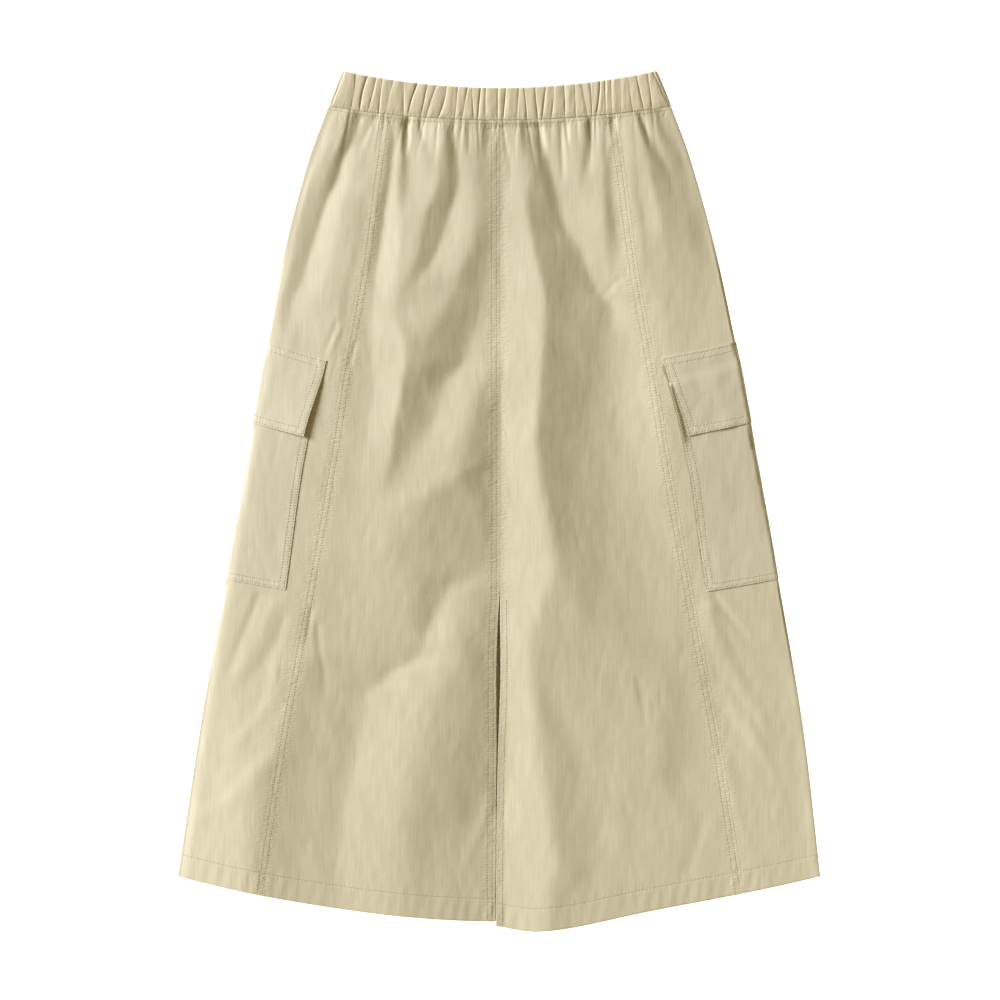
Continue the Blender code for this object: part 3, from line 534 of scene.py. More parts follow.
# Sewing: how a seam, an edge or a hem shapes the cloth beside it
sewing = {
    "fellHeight": 0.06, "fellWidth": 11, "rows": (3.4, 8.4), "grooveDepth": 0.07, "grooveWidth": 0.6,
    "fellStep": 2.5, "fellReach": 16, "pucker": 0.06, "puckerLength": 7.0, "fineShare": 0.7,
    "underDip": 0.05, "underWidth": 1.1, "underReach": 11, "rollWidth": 0.8, "edgeStep": 1.8,
    "hemWidth": 22, "hemStep": 0.06, "hemRipple": 0.12, "hemRippleLength": 13, "hemRoll": 0.3,
    "hemRollWidth": 1.2, "hemFine": 0.04, "hemFineLength": 6.1, "hemAbove": 0.35, "hemReach": 16,
    "waistRow": 2.9, "waistStrip": 0.03, "waistPucker": 0.06, "waistPuckerLength": 5.1,
    "slitRow": 6.2, "slitWidth": 8, "slitHeight": 0.12, "bar": 0.22, "barWidth": 1.3, "barUp": 4,
}


def stitchGrooves(away, rows, depth=1.0):  # a narrow bell-shaped groove along each row of stitches
    total = 0.0
    for row in rows:
        total = total - sewing["grooveDepth"] * depth * np.exp(-(((away - row) / sewing["grooveWidth"]) ** 2))
    return total


def ladder(away, along, seed, reach):  # slanting puckers across a seam, strongest between its rows
    wave = unevenWave(along + 0.9 * away, sewing["puckerLength"], seed)
    fine = unevenWave(along - 0.7 * away, 1.6 * sewing["puckerLength"], seed + 1.3)
    wave = wave + sewing["fineShare"] * fine
    return sewing["pucker"] * wave * ease(away / 1.5) * ease((reach - away) / (0.55 * reach))


def felled(away, along, seed, rows=sewing["rows"]):  # raised strip, grooves and puckers
    strip = sewing["fellHeight"] * ease((sewing["fellWidth"] - away) / sewing["fellStep"])
    return strip + stitchGrooves(away, rows) + ladder(away, along, seed, sewing["fellReach"])


def sewnUnder(away, along, seed):  # the side of a seam that has no rows: it dips under the strip's edge
    dip = -sewing["underDip"] * np.clip(1 - away / sewing["underWidth"], 0, 1) ** 2
    return dip + 0.6 * ladder(away, along, seed, sewing["underReach"])


def turnedEdge(away, along, seed, rows, height=0.05, width=9.0, rolled=0.12):  # folded under and sewn
    strip = height * ease((width - away) / sewing["edgeStep"])
    roll = rolled * np.clip(1 - away / sewing["rollWidth"], 0, 1) ** 2
    return strip - roll + stitchGrooves(away, rows, 0.9) + 0.6 * ladder(away, along, seed, width + 3)


def hemmed(away, along, seed):  # the doubled hem: a step up, its groove, and ripples below it
    width = sewing["hemWidth"]
    step = sewing["hemStep"] * ease((width + 0.6 - away) / 2.2)
    roll = sewing["hemRoll"] * np.clip(1 - away / sewing["hemRollWidth"], 0, 1) ** 2
    ripple = sewing["hemRipple"] * unevenWave(along - 0.2 * away, sewing["hemRippleLength"], seed)
    ripple = ripple + sewing["hemFine"] * unevenWave(along + 0.1 * away, sewing["hemFineLength"], seed + 2)
    inHem = ease((width - away) / 5) * (0.55 + 0.45 * ease(away / 10))
    above = sewing["hemAbove"] * ease((away - width) / 2) * ease((width + sewing["hemReach"] - away) / 14)
    return step - roll + stitchGrooves(away, (width,), 1.2) + ripple * (inHem + above)


def atWaist(down, along, seed):  # the row under the waist seam, in a strip that the puffs sink into
    strip = sewing["waistStrip"] * ease((sewing["waistRow"] + 1.0 - down) / 1.2)
    pucker = sewing["waistPucker"] * unevenWave(along, sewing["waistPuckerLength"], seed)
    pucker = pucker * ease((15 - down) / 9) * ease((down - 2) / 2)
    return strip + stitchGrooves(down, (sewing["waistRow"],), 2.0) + pucker


def frontSurface(side, x, down):  # across by x and down by the cut, at the front's height with its sewing
    y = rowY(x, down)
    z = frontHeight(x, y, down)
    fromSeam = cut("seam", down) - body["gap"] / 2 - abs(x)
    fromSlit = abs(x - slitEdge(side, down))
    z = z + felled(fromSeam, down, 1.0 + side)
    if side < 0:
        z = z + felled(fromSlit, down, 4.0)
        fromBar = down - body["slitTop"] + sewing["barUp"]
        bar = np.exp(-((fromBar / sewing["barWidth"]) ** 2)) * ease((9.5 - fromSlit) / 1.5)
        z = z - sewing["bar"] * bar
    else:
        below = ease((down - body["slitTop"]) / 14)
        z = z + (1 - below) * sewnUnder(fromSlit, down, 2.0)
        rows, height, width = (sewing["slitRow"],), sewing["slitHeight"], sewing["slitWidth"]
        z = z + below * turnedEdge(fromSlit, down, 6.0, rows, height, width)
    z = z + hemmed(body["hem"] - down, x, 1.5 + side) + atWaist(down, x, 0.7)
    if side > 0:
        y = y - rightDrop(x, down)
    return np.stack([x + 0 * down, y, z], axis=-1)


# Back and underside: shallow creases that stand up off what the skirt lies on
under = {
    "creaseSpan": 168, "creaseShare": 0.8, "noise": 0.1, "noiseLengths": (24, 50),
    "clear": 0.35, "leastRoom": 0.05, "softRoom": 0.15, "foldFade": 12, "edgeFade": 10,
}
backFolds = (
    ("right side", ((138, 391), (150, 350), (171, 306), (186, 270)), 10, 12, 1.5, 0.3),
    ("right deep", ((97, 384), (99, 352), (98, 310), (104, 268)), 8, 8, 1.6, 0.4),
    ("right inner", ((61, 380), (58, 350), (64, 312), (72, 262)), 9, 9, 1.4, 0.4),
    ("middle right", ((22, 378), (26, 342), (21, 300)), 8, 8, 1.2, 0.4),
    ("middle left", ((-17, 378), (-20, 338), (-13, 290), (-16, 240)), 9, 8, 1.5, 0.4),
    ("left inner", ((-55, 380), (-60, 344), (-57, 309)), 8, 8, 1.2, 0.4),
    ("left deep", ((-90, 384), (-94, 340), (-105, 298), (-112, 246)), 9, 9, 1.5, 0.4),
    ("left side", ((-140, 391), (-156, 346), (-166, 300)), 10, 10, 1.4, 0.3),
    ("long right", ((88, 190), (92, 90), (80, -10), (96, -120)), 16, 20, 0.9, 0.2),
    ("long middle", ((-22, 150), (-34, 30), (-18, -90), (-38, -210)), 18, 16, 0.9, 0.2),
    ("long left", ((-128, 110), (-118, 0), (-136, -110)), 14, 18, 0.8, 0.2),
    ("low right", ((128, -130), (146, -230), (152, -360)), 18, 16, 0.9, 0.2),
    ("low middle", ((28, -160), (22, -260), (40, -400)), 16, 20, 0.9, 0.2),
    ("low left", ((-84, -190), (-112, -290), (-118, -400)), 18, 16, 0.9, 0.2),
)


def backPuffStops():  # where the waistband's back creases are, unevenly, with their depths
    rng = np.random.default_rng(11)
    steps = rng.uniform(0.65, 1.35, band["backPuffs"])
    shares = np.concatenate([[0], np.cumsum(steps)]) / steps.sum()
    return shares * 2 - 1, rng.uniform(0.35, 1.0, band["backPuffs"] + 1), rng.normal(0, 0.006, len(shares))


def backHeight(x, down):  # creases over a thin rest height, kept under the front's inner face
    y = rowY(x, down)
    half, radius = halfWidth(x, down), foldRadius(down)
    inside = half - radius - abs(x)
    shares, depths, _ = backPuffStops()
    span, depthShare = under["creaseSpan"], under["creaseShare"]
    creases = [(0, share * span, depthShare * depth) for share, depth in zip(shares[1:-1], depths[1:-1])]
    folds = foldRelief(backFolds, x, y) + creasesBelowWaist(x, down, creases, 8)
    folds = folds + under["noise"] * softNoise(x, y * 0.4, 33, 8, *under["noiseLengths"])
    room = frontHeight(x, y, down) - backLift(x, down) - body["underside"] - 2 * body["cloth"]
    room = np.maximum(room - under["clear"], under["leastRoom"])
    folds = room - softRamp(room - folds, under["softRoom"])
    sewn = felled(abs(cut("seam", down) - abs(x)), down, 3.0) * np.where(abs(x) < cut("seam", down), 1, 0)
    sewn = sewn + hemmed(body["hem"] - down, x, 7.5) + atWaist(down, x, 5.7)
    lifted = body["underside"] + folds * ease(inside / under["foldFade"])
    lifted = lifted - np.minimum(sewn, body["underside"])
    return backLift(x, down) + np.maximum(lifted, 0) * ease(inside / under["edgeFade"])


def backSurface(x, down):  # across by x and down by the cut, at the back's height
    return np.stack([x + 0 * down, rowY(x, down), backHeight(x, down)], axis=-1)


def pressedBeside(side, across, down):  # a narrow valley in the panel along a pocket's front edge
    ahead = pocketFront(side, down) - pocketForward(side, down) - across
    flanks = np.where(ahead > 0, np.clip(1 - ahead / 1.5, 0, 1) ** 2, ease(1 + ahead / 5))
    beside = ease((down - body["pocketTop"]) / 5) * ease((body["pocketBottom"] + 1 - down) / 4)
    return pocket["pressed"][side] * flanks * beside


def sideSurface(side, across, down, dipped=True):  # front part, half turn round the side fold, back part
    across, down = np.broadcast_arrays(np.asarray(across, float), np.asarray(down, float))
    half = halfAt(side, down)
    radius = foldRadius(down)
    edge = half - radius
    turn = np.clip((across - edge) / radius, 0, math.pi)
    onBack = np.maximum(across - edge - math.pi * radius, 0)
    out = np.sin(turn) ** body["squareness"]
    up = abs(np.cos(turn)) ** body["squareness"] * np.sign(np.cos(turn))
    x = side * (np.minimum(across, edge) + radius * out - onBack)
    y = rowY(x, down)
    z = backLift(side * edge, down) + radius + radius * up
    front, behind = across <= edge, across >= edge + math.pi * radius
    fx, fy, fDown, fAcross = x[front], y[front], down[front], across[front]
    dips = foldRelief(sideDips, fx, fy) if dipped else 0.0
    height = frontHeight(fx, fy, fDown, dips) + atWaist(fDown, fx, 0.7)
    height = height + sewnUnder(fAcross - cut("seam", fDown) - body["gap"] / 2, fDown, 3.0 + side)
    height = height - (pressedBeside(side, fAcross, fDown) if dipped else 0.0)
    hem = hemmed(body["hem"] - fDown, fx, 1.5 + side)
    z[front] = height + hem * ease((edge[front] - fAcross) / 4)
    z[behind] = backHeight(x[behind], down[behind])
    return np.stack([x, y, z], axis=-1)


def normalsOf(surface, across, down, side=1):  # the cross product of the steps down and across
    step = 0.5
    over = surface(across + step, down) - surface(across - step, down)
    below = surface(across, down + step) - surface(across, down - step)
    normal = np.cross(below, over) * side
    return normal / np.linalg.norm(normal, axis=-1, keepdims=True)


# Pockets and flaps: the side panel's points moved out along its normals
pocket = {
    "rows": (1.9, 6.7), "puff": 0.22, "cloth": 0.5, "lift": 0.6, "rolled": 0.12,
    "forward": {-1: (0, 4.0, 3.4, 3.2), 1: (7.5, 7.5, 4.0, 0.2)},  # of its front edge, top to bottom
    "pressed": {-1: 0.1, 1: 0.35},  # the valley beside its front edge
    "gape": {-1: 0.0, 1: 2.0}, "gapeWidth": 5.5,  # how far its front edge stands up beside the flap
    "puffWidth": 26, "puffDown": 40, "noise": 0.08,
    "flat": (0.136, 0.218), "area": 0.0288,
}
flap = {
    "rows": (1.7, 7.6), "lift": 0.1, "puff": 0.12, "cloth": 0.8, "rolled": 0.12,
    "forward": {-1: (0, 0), 1: (10.0, 2.0)}, "tilt": {-1: (0, 0), 1: (5.2, 2.6)},  # at its top and its hem
    "bulge": {-1: (0.4, 236, 14), 1: (0.7, 229, 12)},  # of its hem: height, place across and width
    "standing": {-1: 2.3, 1: 0.2}, "standingWidth": 45,  # off the pocket at its front corner
    "run": 75,  # over how far its tilt and its standing off go
    "noise": 0.05,
    "flat": (0.138, 0.082), "area": 0.0110,
}


def aroundFold(side, down):  # a pocket's front and back edges as distances round the side fold
    edge = halfAt(side, down) - foldRadius(down)
    return pocketFront(side, down), edge + math.pi * foldRadius(down) + edge - pocketBackEdge(side, down)


def pocketForward(side, down):  # how far its front edge lies ahead of the solid's, between named places
    stops = body["pocketTop"], body["flapBottom"], body["flapBottom"] + 45, body["pocketBottom"]
    return np.interp(down, stops, pocket["forward"][side])


def flapForward(side, down):  # the same of a flap, evenly from its top to its hem
    return np.interp(down, (body["flapTop"], body["flapBottom"]), flap["forward"][side])


def pocketOut(side, across, down):  # close on the front, and as thick as the solid from the fold round
    edge = halfAt(side, down) - foldRadius(down)
    behind = body["laidGap"] + body["solidCloth"] - pocket["lift"]
    return pocket["lift"] + behind * ease((across - edge - 3) / 9)


def movedOut(side, across, down, out):  # the side panel's points moved out along its normals, none below 0
    base = lambda a, d: sideSurface(side, a, d, False)
    points = base(across, down) + normalsOf(base, across, down, side) * out[..., None]
    points[..., 2] = np.maximum(points[..., 2], 0.0)
    return points


def pocketSurface(side, across, down):  # its lift, a puff, the gape of its front edge, and its sewn edges
    front, back = aroundFold(side, down)
    fromFront = across - front + pocketForward(side, down)
    fromEdge = np.minimum(fromFront, back - across)
    fromBottom = body["pocketBottom"] - down
    puff = pocket["puff"] * ease(fromEdge / pocket["puffWidth"]) * ease(fromBottom / pocket["puffDown"])
    out = pocketOut(side, across, down) + puff
    opening = ease((down - body["pocketTop"] + 2) / 8) * ease((body["flapBottom"] + 10 - down) / 22)
    out = out + pocket["gape"][side] * opening * ease(1 - fromFront / pocket["gapeWidth"])
    rolled = pocket["rolled"] if side < 0 else 0.0
    out = out + turnedEdge(fromEdge, down, 5.0 + side, pocket["rows"], rolled=rolled)
    out = out + turnedEdge(fromBottom, across, 2.0 + side, pocket["rows"])
    out = out + pocket["noise"] * softNoise(across, down * 0.35, 41 + side, 8, 14, 34) * ease(fromEdge / 9)
    return movedOut(side, across, down, out)


def flapSurface(side, across, down):
    # tilted down towards its front, over the pocket's thickness where that lies under it, with its front
    # corner standing off, a bulge in its hem, a puff and its sewn edges
    front, back = aroundFold(side, down)
    fromFront = across - front + flapForward(side, down)
    fromEdge = np.minimum(fromFront, back - across)
    fromTop, fromBottom = down - body["flapTop"], body["flapBottom"] - down
    stops = body["flapTop"], body["flapBottom"]
    tilted = down - np.interp(down, stops, flap["tilt"][side]) * (1 - ease(fromFront / flap["run"]))
    over = ease((tilted - body["pocketTop"] + 6) / 12)
    out = flap["lift"] + flap["cloth"] + pocketOut(side, across, down) * over
    standing = flap["standing"][side] * ease(fromTop / flap["run"])
    out = out + standing * ease(1 - fromFront / flap["standingWidth"])
    height, place, width = flap["bulge"][side]
    out = out + height * np.exp(-(((across - place) / width) ** 2)) * ease(1 - fromBottom / 22)
    out = out + flap["puff"] * ease(fromEdge / 20) * ease(fromTop / 16) * ease(fromBottom / 18)
    rolled = flap["rolled"] if side < 0 else 0.0
    out = out + turnedEdge(fromEdge, down, 8.0 + side, flap["rows"], rolled=rolled)
    out = out + turnedEdge(fromBottom, across, 6.0 + side, flap["rows"])
    out = out + turnedEdge(fromTop, across, 9.0 + side, flap["rows"], rolled=rolled)
    out = out + flap["noise"] * softNoise(across, down * 0.4, 51 + side, 8, 14, 34)
    return movedOut(side, across, tilted, out)


# Meshes from grids of points
def inScene(name, data):  # a new object with this data
    made = bpy.data.objects.new(name, data)
    bpy.context.scene.collection.objects.link(made)
    return made


def gridMesh(name, points, flat, masks, material, wall=0.0, closed=False):
    # each grid cell is one face, wound down then across, which points out; flat is its place on the cloth
    rows, columns = points.shape[:2]
    index = np.arange(rows * columns).reshape(rows, columns)
    if closed:
        index = np.pad(index, ((0, 1), (0, 1)), mode="wrap")
    corners = lambda v: np.stack([v[:-1, :-1], v[1:, :-1], v[1:, 1:], v[:-1, 1:]], axis=2)
    mesh = bpy.data.meshes.new(name)
    mesh.from_pydata((points.reshape(-1, 3) * 0.001).tolist(), [], corners(index).reshape(-1, 4).tolist())
    layer = mesh.uv_layers.new(name="clothPlace")
    layer.uv.foreach_set("vector", (corners(flat) * 0.001).ravel())
    # the first mask pales worn seams and edges and paints a highlight along the side folds; the others are
    # puckers
    for label, mask in zip(("wearAndHighlight", "puckersDown", "puckersAcross"), masks):
        values = np.broadcast_to(mask, points.shape[:2])
        mesh.attributes.new(label, "FLOAT", "POINT").data.foreach_set("value", values.ravel())
    mesh.shade_smooth()
    mesh.materials.append(material)
    piece = inScene(name, mesh)
    if wall:  # a wall's cut edges stay sharp
        ends = np.empty(len(mesh.edges) * 2, int)
        mesh.edges.foreach_get("vertices", ends)
        row, column = np.divmod(ends.reshape(-1, 2), columns)
        rims = ((row, 0), (row, rows - 1), (column, 0), (column, columns - 1))
        sharp = np.any([(place == rim).all(axis=1) for place, rim in rims], axis=0)
        mesh.attributes.new("sharp_edge", "BOOLEAN", "EDGE").data.foreach_set("value", sharp)
        solid = piece.modifiers.new("cloth wall", "SOLIDIFY")
        solid.thickness = wall * 0.001
        solid.offset = -1
        solid.use_quality_normals = True
    return piece


def gridArea(points):  # the sum of half the cross product of each cell's diagonals, in square metres
    one, other = points[1:, 1:] - points[:-1, :-1], points[1:, :-1] - points[:-1, 1:]
    return float(np.linalg.norm(np.cross(one, other), axis=-1).sum() / 2) * 1e-6


def spread(start, end, near, far, between):  # set distances in from both ends, even shares between
    near, far = np.asarray(near, float), np.asarray(far, float)
    start, end = np.atleast_1d(start)[:, None], np.atleast_1d(end)[:, None]
    way = np.sign(end - start)
    first, last = start + way * near[-1], end - way * far[-1]
    middle = first + (last - first) * np.linspace(0, 1, between + 2)[None, 1:-1]
    return np.hstack([start + way * near, middle, end - way * far[::-1]])


grid = {
    "beside a seam": (0, 0.5, 1.0, 1.7, 2.4, 3.0, 3.8, 4.7, 5.8, 6.9, 7.8, 8.4, 9.2, 10.2, 11.4, 13.0, 15.0),
    "under a seam": (0, 0.6, 1.3, 2.2, 3.4, 5.0, 7.0, 9.5),
    "under the waist": (0, 0.6, 1.4, 2.3, 3.2, 4.1, 4.8, 5.6, 6.6, 7.8, 9.2, 10.8, 12.6, 14.6, 16.8),
    "over the hem": (0, 0.5, 1.2, 2.4, 4.4, 7, 10, 13, 16, 18.5, 20.4, 21.3, 22.0, 22.8, 23.8, 25.2),
    "beside a turned edge": (0, 0.5, 1.1, 1.8, 2.6, 3.8, 5.2, 6.6, 7.5, 8.4, 9.6, 11.5),
    "beside a pocket": (0, 0.4, 0.9, 1.5, 2.3), "past a pocket's edge": (0, 0.5, 1.2, 2.4),
    "before the fold": (0, 1.0, 2.4, 4.2), "after the fold": (0, 1.5, 3.5), "fold": 14,
    "front across": 96, "front down": 250, "side to pocket": 8, "side past pocket": 26, "side back": 34,
    "back across": 76, "back down": 210, "pocket down": 92, "flap down": 32, "laid across": 54,
}


def skirtRows(between):  # places down the skirt, close together at the waist seam and the hem
    gap = body["gap"] / 2
    return spread(gap, body["hem"], grid["under the waist"], grid["over the hem"], between)[0]


def puckered(away, width):  # a pucker mask beside a seam: full over its strip, then fading
    return ease(away / 0.8) * (1 - ease((away - width) / 5))


def seamsRubbed(away, width):  # worn paler along an edge and on the strip beside it
    return 0.25 * np.exp(-((away / 1.5) ** 2)) + 0.25 * ease((width - away) / 2)


def rowsPuckered(down):  # the mask under the waist seam, and half of it beside the hem's row
    byHem = puckered(abs(body["hem"] - sewing["hemWidth"] - down), 2)
    return np.minimum(puckered(down, 8) + 0.5 * byHem, 1)


# Materials
khaki = {
    # sRGB of the cloth where it is darkest and palest, and of the thread
    "skirt": ((198, 188, 155), (219, 211, 182)),
    "pocket": ((200, 190, 159), (219, 211, 185)),
    "waistband": ((204, 193, 159), (223, 213, 182)),
    "thread": ((158, 141, 98), (176, 160, 117)),
    "light": 0.96,  # all of them are made paler or darker by this
    "roughness": 0.6, "sheen": 0.1, "sheenRoughness": 0.5, "specular": 0.5,
    "slubWidth": 0.0015, "slubLength": 0.030, "slubTone": 0.36, "slubHeight": 0.022,
    "streakWidth": 0.0040, "streakLength": 0.050, "streakTone": 0.13, "streakHeight": 0.045,
    "weavePitch": 0.00052, "weaveTone": 0.10, "weaveHeight": 0.009,
    # the last two pale worn seams and edges, and paint a highlight along the side folds, broken up by noise
    # of that size
    "puckerNear": 0.0021, "puckerFar": 0.0065, "puckerHeight": 0.40, "wearHighlightTone": 0.35, "wearHighlightSize": 0.006,
}


def linear(colour):  # each sRGB channel as linear light, times the shared light
    shares = [c / 255 for c in colour]
    light = [s / 12.92 if s <= 0.04045 else ((s + 0.055) / 1.055) ** 2.4 for s in shares]
    return tuple(min(khaki["light"] * v, 1.0) for v in light) + (1.0,)


def newGroup(name, inputs, outputs):  # a node group with its inputs as name and default, a vector's as None
    tree = bpy.data.node_groups.new(name, "ShaderNodeTree")
    for label, value in inputs.items():
        kind = "NodeSocketVector" if value is None else "NodeSocketFloat"
        socket = tree.interface.new_socket(label, in_out="INPUT", socket_type=kind)
        if value is not None:
            socket.default_value = value
    for label in outputs:
        tree.interface.new_socket(label, in_out="OUTPUT", socket_type="NodeSocketFloat")
    return tree, tree.nodes.new("NodeGroupInput").outputs, tree.nodes.new("NodeGroupOutput").inputs


def addNode(tree, kind, inputs, **settings):  # a node's outputs, once its inputs have their links or values
    node = tree.nodes.new("ShaderNode" + kind)
    for label, value in settings.items():
        setattr(node, label, value)
    for label, value in inputs.items():
        if isinstance(value, bpy.types.NodeSocket):
            tree.links.new(value, node.inputs[label])
        else:
            node.inputs[label].default_value = value
    return node.outputs


def mathNode(tree, operation, *values):  # one operation, values in the order of its inputs
    return addNode(tree, "Math", dict(enumerate(values)), operation=operation)["Value"]


def noiseAt(tree, vector, detail, roughness=0.5, scale=1.0):  # noise from 0 to 1
    inputs = {"Vector": vector, "Scale": scale, "Detail": detail, "Roughness": roughness}
    return addNode(tree, "TexNoise", inputs)["Fac"]


def noiseOver(tree, vector, width, length, detail, roughness=0.5, seed=0.0):
    # noise with x over the width and y over the length, less a half
    parts = addNode(tree, "SeparateXYZ", {"Vector": vector})
    x = mathNode(tree, "DIVIDE", parts["X"], width)
    y = mathNode(tree, "DIVIDE", parts["Y"], length)
    joined = addNode(tree, "CombineXYZ", {"X": x, "Y": y, "Z": seed})["Vector"]
    return mathNode(tree, "SUBTRACT", noiseAt(tree, joined, detail, roughness), 0.5)


def makeSlubGroup():  # noise drawn out along the warp, so thick and thin yarns show as streaks
    inputs = {"Vector": None, "Width": 0.002, "Length": 0.05, "Seed": 0.0}
    tree, given, leave = newGroup("slub yarns", inputs, ("Tone", "Height"))
    middle = noiseOver(tree, given["Vector"], given["Width"], given["Length"], 2.0, 0.55, given["Seed"])
    tree.links.new(mathNode(tree, "MULTIPLY", middle, 2.4), leave["Tone"])
    tree.links.new(mathNode(tree, "MULTIPLY", middle, 2.0), leave["Height"])
    return tree


def makeTwillGroup():  # a sine along the diagonal of the cloth, broken up by a finer one across the yarns
    inputs = {"Vector": None, "Pitch": 0.0005}
    tree, given, leave = newGroup("twill weave", inputs, ("Tone", "Height"))
    parts = addNode(tree, "SeparateXYZ", {"Vector": given["Vector"]})
    turns = mathNode(tree, "DIVIDE", mathNode(tree, "ADD", parts["X"], parts["Y"]), given["Pitch"])
    rib = mathNode(tree, "SINE", mathNode(tree, "MULTIPLY", turns, 2 * math.pi))
    yarns = mathNode(tree, "DIVIDE", parts["X"], given["Pitch"])
    yarn = mathNode(tree, "SINE", mathNode(tree, "MULTIPLY", yarns, 4 * math.pi))
    both = mathNode(tree, "MULTIPLY_ADD", yarn, 0.35, rib)
    tree.links.new(both, leave["Height"])
    tree.links.new(mathNode(tree, "MULTIPLY", both, 0.7), leave["Tone"])
    return tree


def makeWearHighlightGroup():  # the mask of worn seams and edges and of the painted highlight along the side folds, broken up by noise, so it pales unevenly
    inputs = {"Vector": None, "Rubbed": 0.0, "Size": 0.006}
    tree, given, leave = newGroup("rubbed edges", inputs, ("Mask",))
    scaled = addNode(tree, "VectorMath", {0: given["Vector"], 1: given["Size"]}, operation="DIVIDE")["Vector"]
    uneven = mathNode(tree, "MULTIPLY_ADD", noiseAt(tree, scaled, 3.0), 1.4, -0.1)
    tree.links.new(mathNode(tree, "MULTIPLY", given["Rubbed"], uneven), leave["Mask"])
    return tree


def makePuckerGroup():  # noise drawn out across a seam, for seams down the skirt and across it
    inputs = {"Vector": None, "Down": 0.0, "Across": 0.0, "Near": 0.0013, "Far": 0.0075}
    tree, given, leave = newGroup("seam puckers", inputs, ("Height",))
    waves = []
    for wide, tall, mask in (("Far", "Near", "Down"), ("Near", "Far", "Across")):
        middle = noiseOver(tree, given["Vector"], given[wide], given[tall], 1.0)
        waves.append(mathNode(tree, "MULTIPLY", middle, given[mask]))
    tree.links.new(mathNode(tree, "ADD", *waves), leave["Height"])
    return tree


slubGroup, twillGroup = makeSlubGroup(), makeTwillGroup()
wearHighlightGroup, puckerGroup = makeWearHighlightGroup(), makePuckerGroup()


def placed(tree, group, **values):  # the outputs of one use of a group
    return addNode(tree, "Group", values, node_tree=group)


def newMaterial(name, settings):  # constants go straight on the shader
    material = bpy.data.materials.new(name)
    material.use_nodes = True
    shader = material.node_tree.nodes["Principled BSDF"]
    for label, value in settings.items():
        shader.inputs[label].default_value = value
    return material, material.node_tree, shader


def shadedBy(tree, shader, tone, colours, rough, bump):  # the tone mixes the two colours
    inputs = {"Factor": tone, "A": linear(colours[0]), "B": linear(colours[1])}
    colour = addNode(tree, "Mix", inputs, data_type="RGBA")["Result"]
    tree.links.new(colour, shader.inputs["Base Color"])
    tree.links.new(rough, shader.inputs["Roughness"])
    tree.links.new(addNode(tree, "Bump", bump)["Normal"], shader.inputs["Normal"])


def clothMaterial(name, colours, seed):  # tone and height are sums of each effect times its share
    settings = {"Sheen Weight": khaki["sheen"], "Sheen Roughness": khaki["sheenRoughness"],
                "Specular IOR Level": khaki["specular"]}
    material, tree, shader = newMaterial(name, settings)
    place = addNode(tree, "UVMap", {}, uv_map="clothPlace")["UV"]
    wearAndHighlight, byDown, byAcross = (addNode(tree, "Attribute", {}, attribute_name=label)["Fac"]
                                for label in ("wearAndHighlight", "puckersDown", "puckersAcross"))
    slub = placed(tree, slubGroup, Vector=place, Width=khaki["slubWidth"], Length=khaki["slubLength"],
                  Seed=seed)
    streak = placed(tree, slubGroup, Vector=place, Width=khaki["streakWidth"], Length=khaki["streakLength"],
                    Seed=seed + 3.7)
    twill = placed(tree, twillGroup, Vector=place, Pitch=khaki["weavePitch"])
    wearHighlight = placed(tree, wearHighlightGroup, Vector=place, Rubbed=wearAndHighlight, Size=khaki["wearHighlightSize"])
    pucker = placed(tree, puckerGroup, Vector=place, Down=byDown, Across=byAcross, Near=khaki["puckerNear"],
                    Far=khaki["puckerFar"])
    tone, height = 0.5, 0.0
    # the wear-and-highlight mask pales worn seams and edges, and paints a highlight along the side folds
    for source, label, share in ((slub, "Tone", "slubTone"), (streak, "Tone", "streakTone"),
                                 (twill, "Tone", "weaveTone"), (wearHighlight, "Mask", "wearHighlightTone")):
        tone = mathNode(tree, "MULTIPLY_ADD", source[label], khaki[share], tone)
    for source, share in ((slub, "slubHeight"), (streak, "streakHeight"), (twill, "weaveHeight"),
                          (pucker, "puckerHeight")):
        height = mathNode(tree, "MULTIPLY_ADD", source["Height"], khaki[share], height)
    rough = mathNode(tree, "MULTIPLY_ADD", slub["Tone"], -0.05, khaki["roughness"])
    shadedBy(tree, shader, tone, colours, rough, {"Strength": 1.0, "Distance": 0.001, "Height": height})
    material.diffuse_color = linear(colours[0])
    return material


def threadMaterial():  # tone from small noise, and a sine along the stitch for the twist of its plies
    material, tree, shader = newMaterial("khaki thread", {"Sheen Weight": 0.1, "Specular IOR Level": 0.35})
    place = addNode(tree, "TexCoord", {})["Object"]
    noise = noiseAt(tree, place, 1.0, scale=420.0)
    rough = mathNode(tree, "MULTIPLY_ADD", noise, 0.15, 0.55)
    parts = addNode(tree, "SeparateXYZ", {"Vector": place})
    slant = mathNode(tree, "ADD", mathNode(tree, "ADD", parts["X"], parts["Y"]), parts["Z"])
    ply = mathNode(tree, "SINE", mathNode(tree, "MULTIPLY", slant, 2 * math.pi / 0.0004))
    bump = {"Strength": 0.5, "Distance": 0.00003, "Height": ply}
    shadedBy(tree, shader, noise, khaki["thread"], rough, bump)
    return material


cloths = {  # by slot
    "skirt_cloth": clothMaterial("khaki twill", khaki["skirt"], 1.0),
    "pocket_cloth": clothMaterial("khaki pocket twill", khaki["pocket"], 5.0),
    "waistband": clothMaterial("khaki waistband twill", khaki["waistband"], 9.0),
}
khakiThread = threadMaterial()
print("materials made", flush=True)


def clothPiece(name, node, slotName, points, place, masks, wall, flipped=False):
    # place is how far across the cloth each point lies, or its whole place on it. Flipped, the columns run
    # the other way, so faces still point out. A piece with no wall is closed both ways.
    if flipped:
        points, place, *masks = (layer[:, ::-1] for layer in (points, place, *masks))
    flat = place if place.ndim == 3 else np.stack([place, points[..., 1]], axis=-1)
    closed = wall == 0
    piece = gridMesh(name, points, flat, masks, cloths[slotName], wall, closed)
    print(name, "area", round(gridArea(points) / (2 if closed else 1), 4), flush=True)
    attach(piece, "root")
    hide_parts(node)


